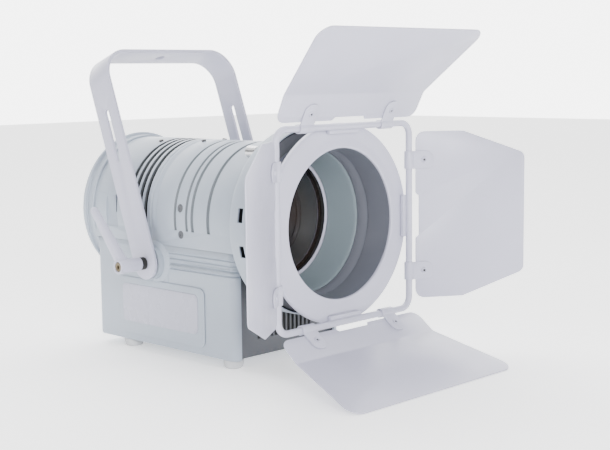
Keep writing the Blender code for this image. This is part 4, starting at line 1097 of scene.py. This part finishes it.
CARRIED = {
    # the front panel and the control panel take the dark grey of painted shade
    "base_plate": BODY_PAINT, "base_front_panel": SHADE_PAINT, "control_panel": SHADE_PAINT,
    "power_inlet": BLACK, "data_input": BLACK, "data_output": BLACK, "driver_unit": STEEL,
    "control_board": BOARD, "fan_frame": BLACK, "fan_rotor": BLACK, "guide_rod_left": STEEL,
    "guide_rod_right": STEEL, "lens_carriage": BLACK, "accessory_plunger": STEEL,
    "friction_washer_left": BLACK, "friction_washer_right": BLACK,
}


def carried_over():
    """The nodes that are seen as they are in the frame get a material and smooth shading."""
    for name, material in CARRIED.items():
        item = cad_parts[name]
        item.data.materials.clear()
        item.data.materials.append(material)
        item.data.shade_smooth()
        item.data.set_sharp_from_angle(angle=radians(30))


# ---- stage, lights, camera

def stage():
    """A pale floor, and a world that glows most from behind and above the object."""
    size = 6.0
    floor = add("floor", cuboid("floor", (-size, -size, -0.02), (size, size, -0.0001)))
    nodes = Nodes("pale_floor")
    nodes.link(nodes.blend(nodes.spread(nodes.noise(2.0)), (0.93, 0.93, 0.93), (0.95, 0.95, 0.95)),
               "Base Color")
    nodes.set(Roughness=0.9, Emission_Color=(1.0, 1.0, 1.0, 1.0), Emission_Strength=0.65)
    floor.data.materials.append(nodes.material)
    world = bpy.data.worlds.new("studio")
    bpy.context.scene.world = world
    world.use_nodes = True
    tree = world.node_tree
    background = tree.nodes["Background"]
    background.inputs["Color"].default_value = (1.0, 1.0, 1.0, 1.0)
    toward = tree.nodes.new("ShaderNodeVectorMath")
    toward.operation = "DOT_PRODUCT"
    toward.inputs[1].default_value = (0.63, 0.63, 0.45)
    tree.links.new(tree.nodes.new("ShaderNodeTexCoord").outputs["Generated"], toward.inputs[0])
    level = tree.nodes.new("ShaderNodeMapRange")
    level.interpolation_type = "SMOOTHSTEP"
    for key, number in (("From Min", 0.25), ("From Max", 0.84), ("To Min", 0.55), ("To Max", 6.0)):
        level.inputs[key].default_value = number
    tree.links.new(toward.outputs["Value"], level.inputs["Value"])
    tree.links.new(level.outputs["Result"], background.inputs["Strength"])


def soft_light(name, spot, size, power):
    """A square area light aimed at the middle of the object."""
    data = bpy.data.lights.new(name, "AREA")
    data.shape = "RECTANGLE"
    data.size = data.size_y = size
    data.energy = power
    lamp = add(name, data)
    lamp.location = Vector(spot)
    aim = Vector((0.0, 0.0, 0.15)) - Vector(spot)
    lamp.rotation_euler = aim.to_track_quat("-Z", "Y").to_euler()


def lights():
    soft_light("key", (-1.1, -1.9, 0.8), 0.8, 62)
    soft_light("side", (-2.1, -0.3, 0.9), 0.8, 14)
    soft_light("top", (0.3, 0.5, 2.2), 1.4, 12)


def camera():
    """The view from the front left, from slightly above."""
    forward = Vector((sin(YAW) * cos(PITCH), cos(YAW) * cos(PITCH), -sin(PITCH)))
    level = Vector((cos(YAW), -sin(YAW), 0.0))
    up = level.cross(forward)
    right = level * cos(ROLL) + up * sin(ROLL)
    above = up * cos(ROLL) - level * sin(ROLL)
    data = bpy.data.cameras.new("camera")
    data.lens = FOCAL_LENGTH
    data.sensor_width = FILM_WIDTH
    data.clip_end = 50.0
    view = add("camera", data)
    place = Matrix((right, above, -forward)).transposed().to_4x4()
    place.translation = ORIGIN + EYE
    view.matrix_world = place
    bpy.context.scene.camera = view


# ---- assembly

camera()
front_shell()
screw_plugs()
rear_shell()
top_screws()
rear_cover()
cap_screws()
front_bezel()
lens_tube()
base_housing()
side_panels()
feet()
grille()
rear_details()
lens_group()
zoom_knob()
light_engine()
barndoor_plate()
barndoor_ring()
barndoor_tube()
wire_frame()
leaves()
yoke()
clamp_lever("left", -1)
clamp_lever("right", 1)
carried_over()
stage()
lights()
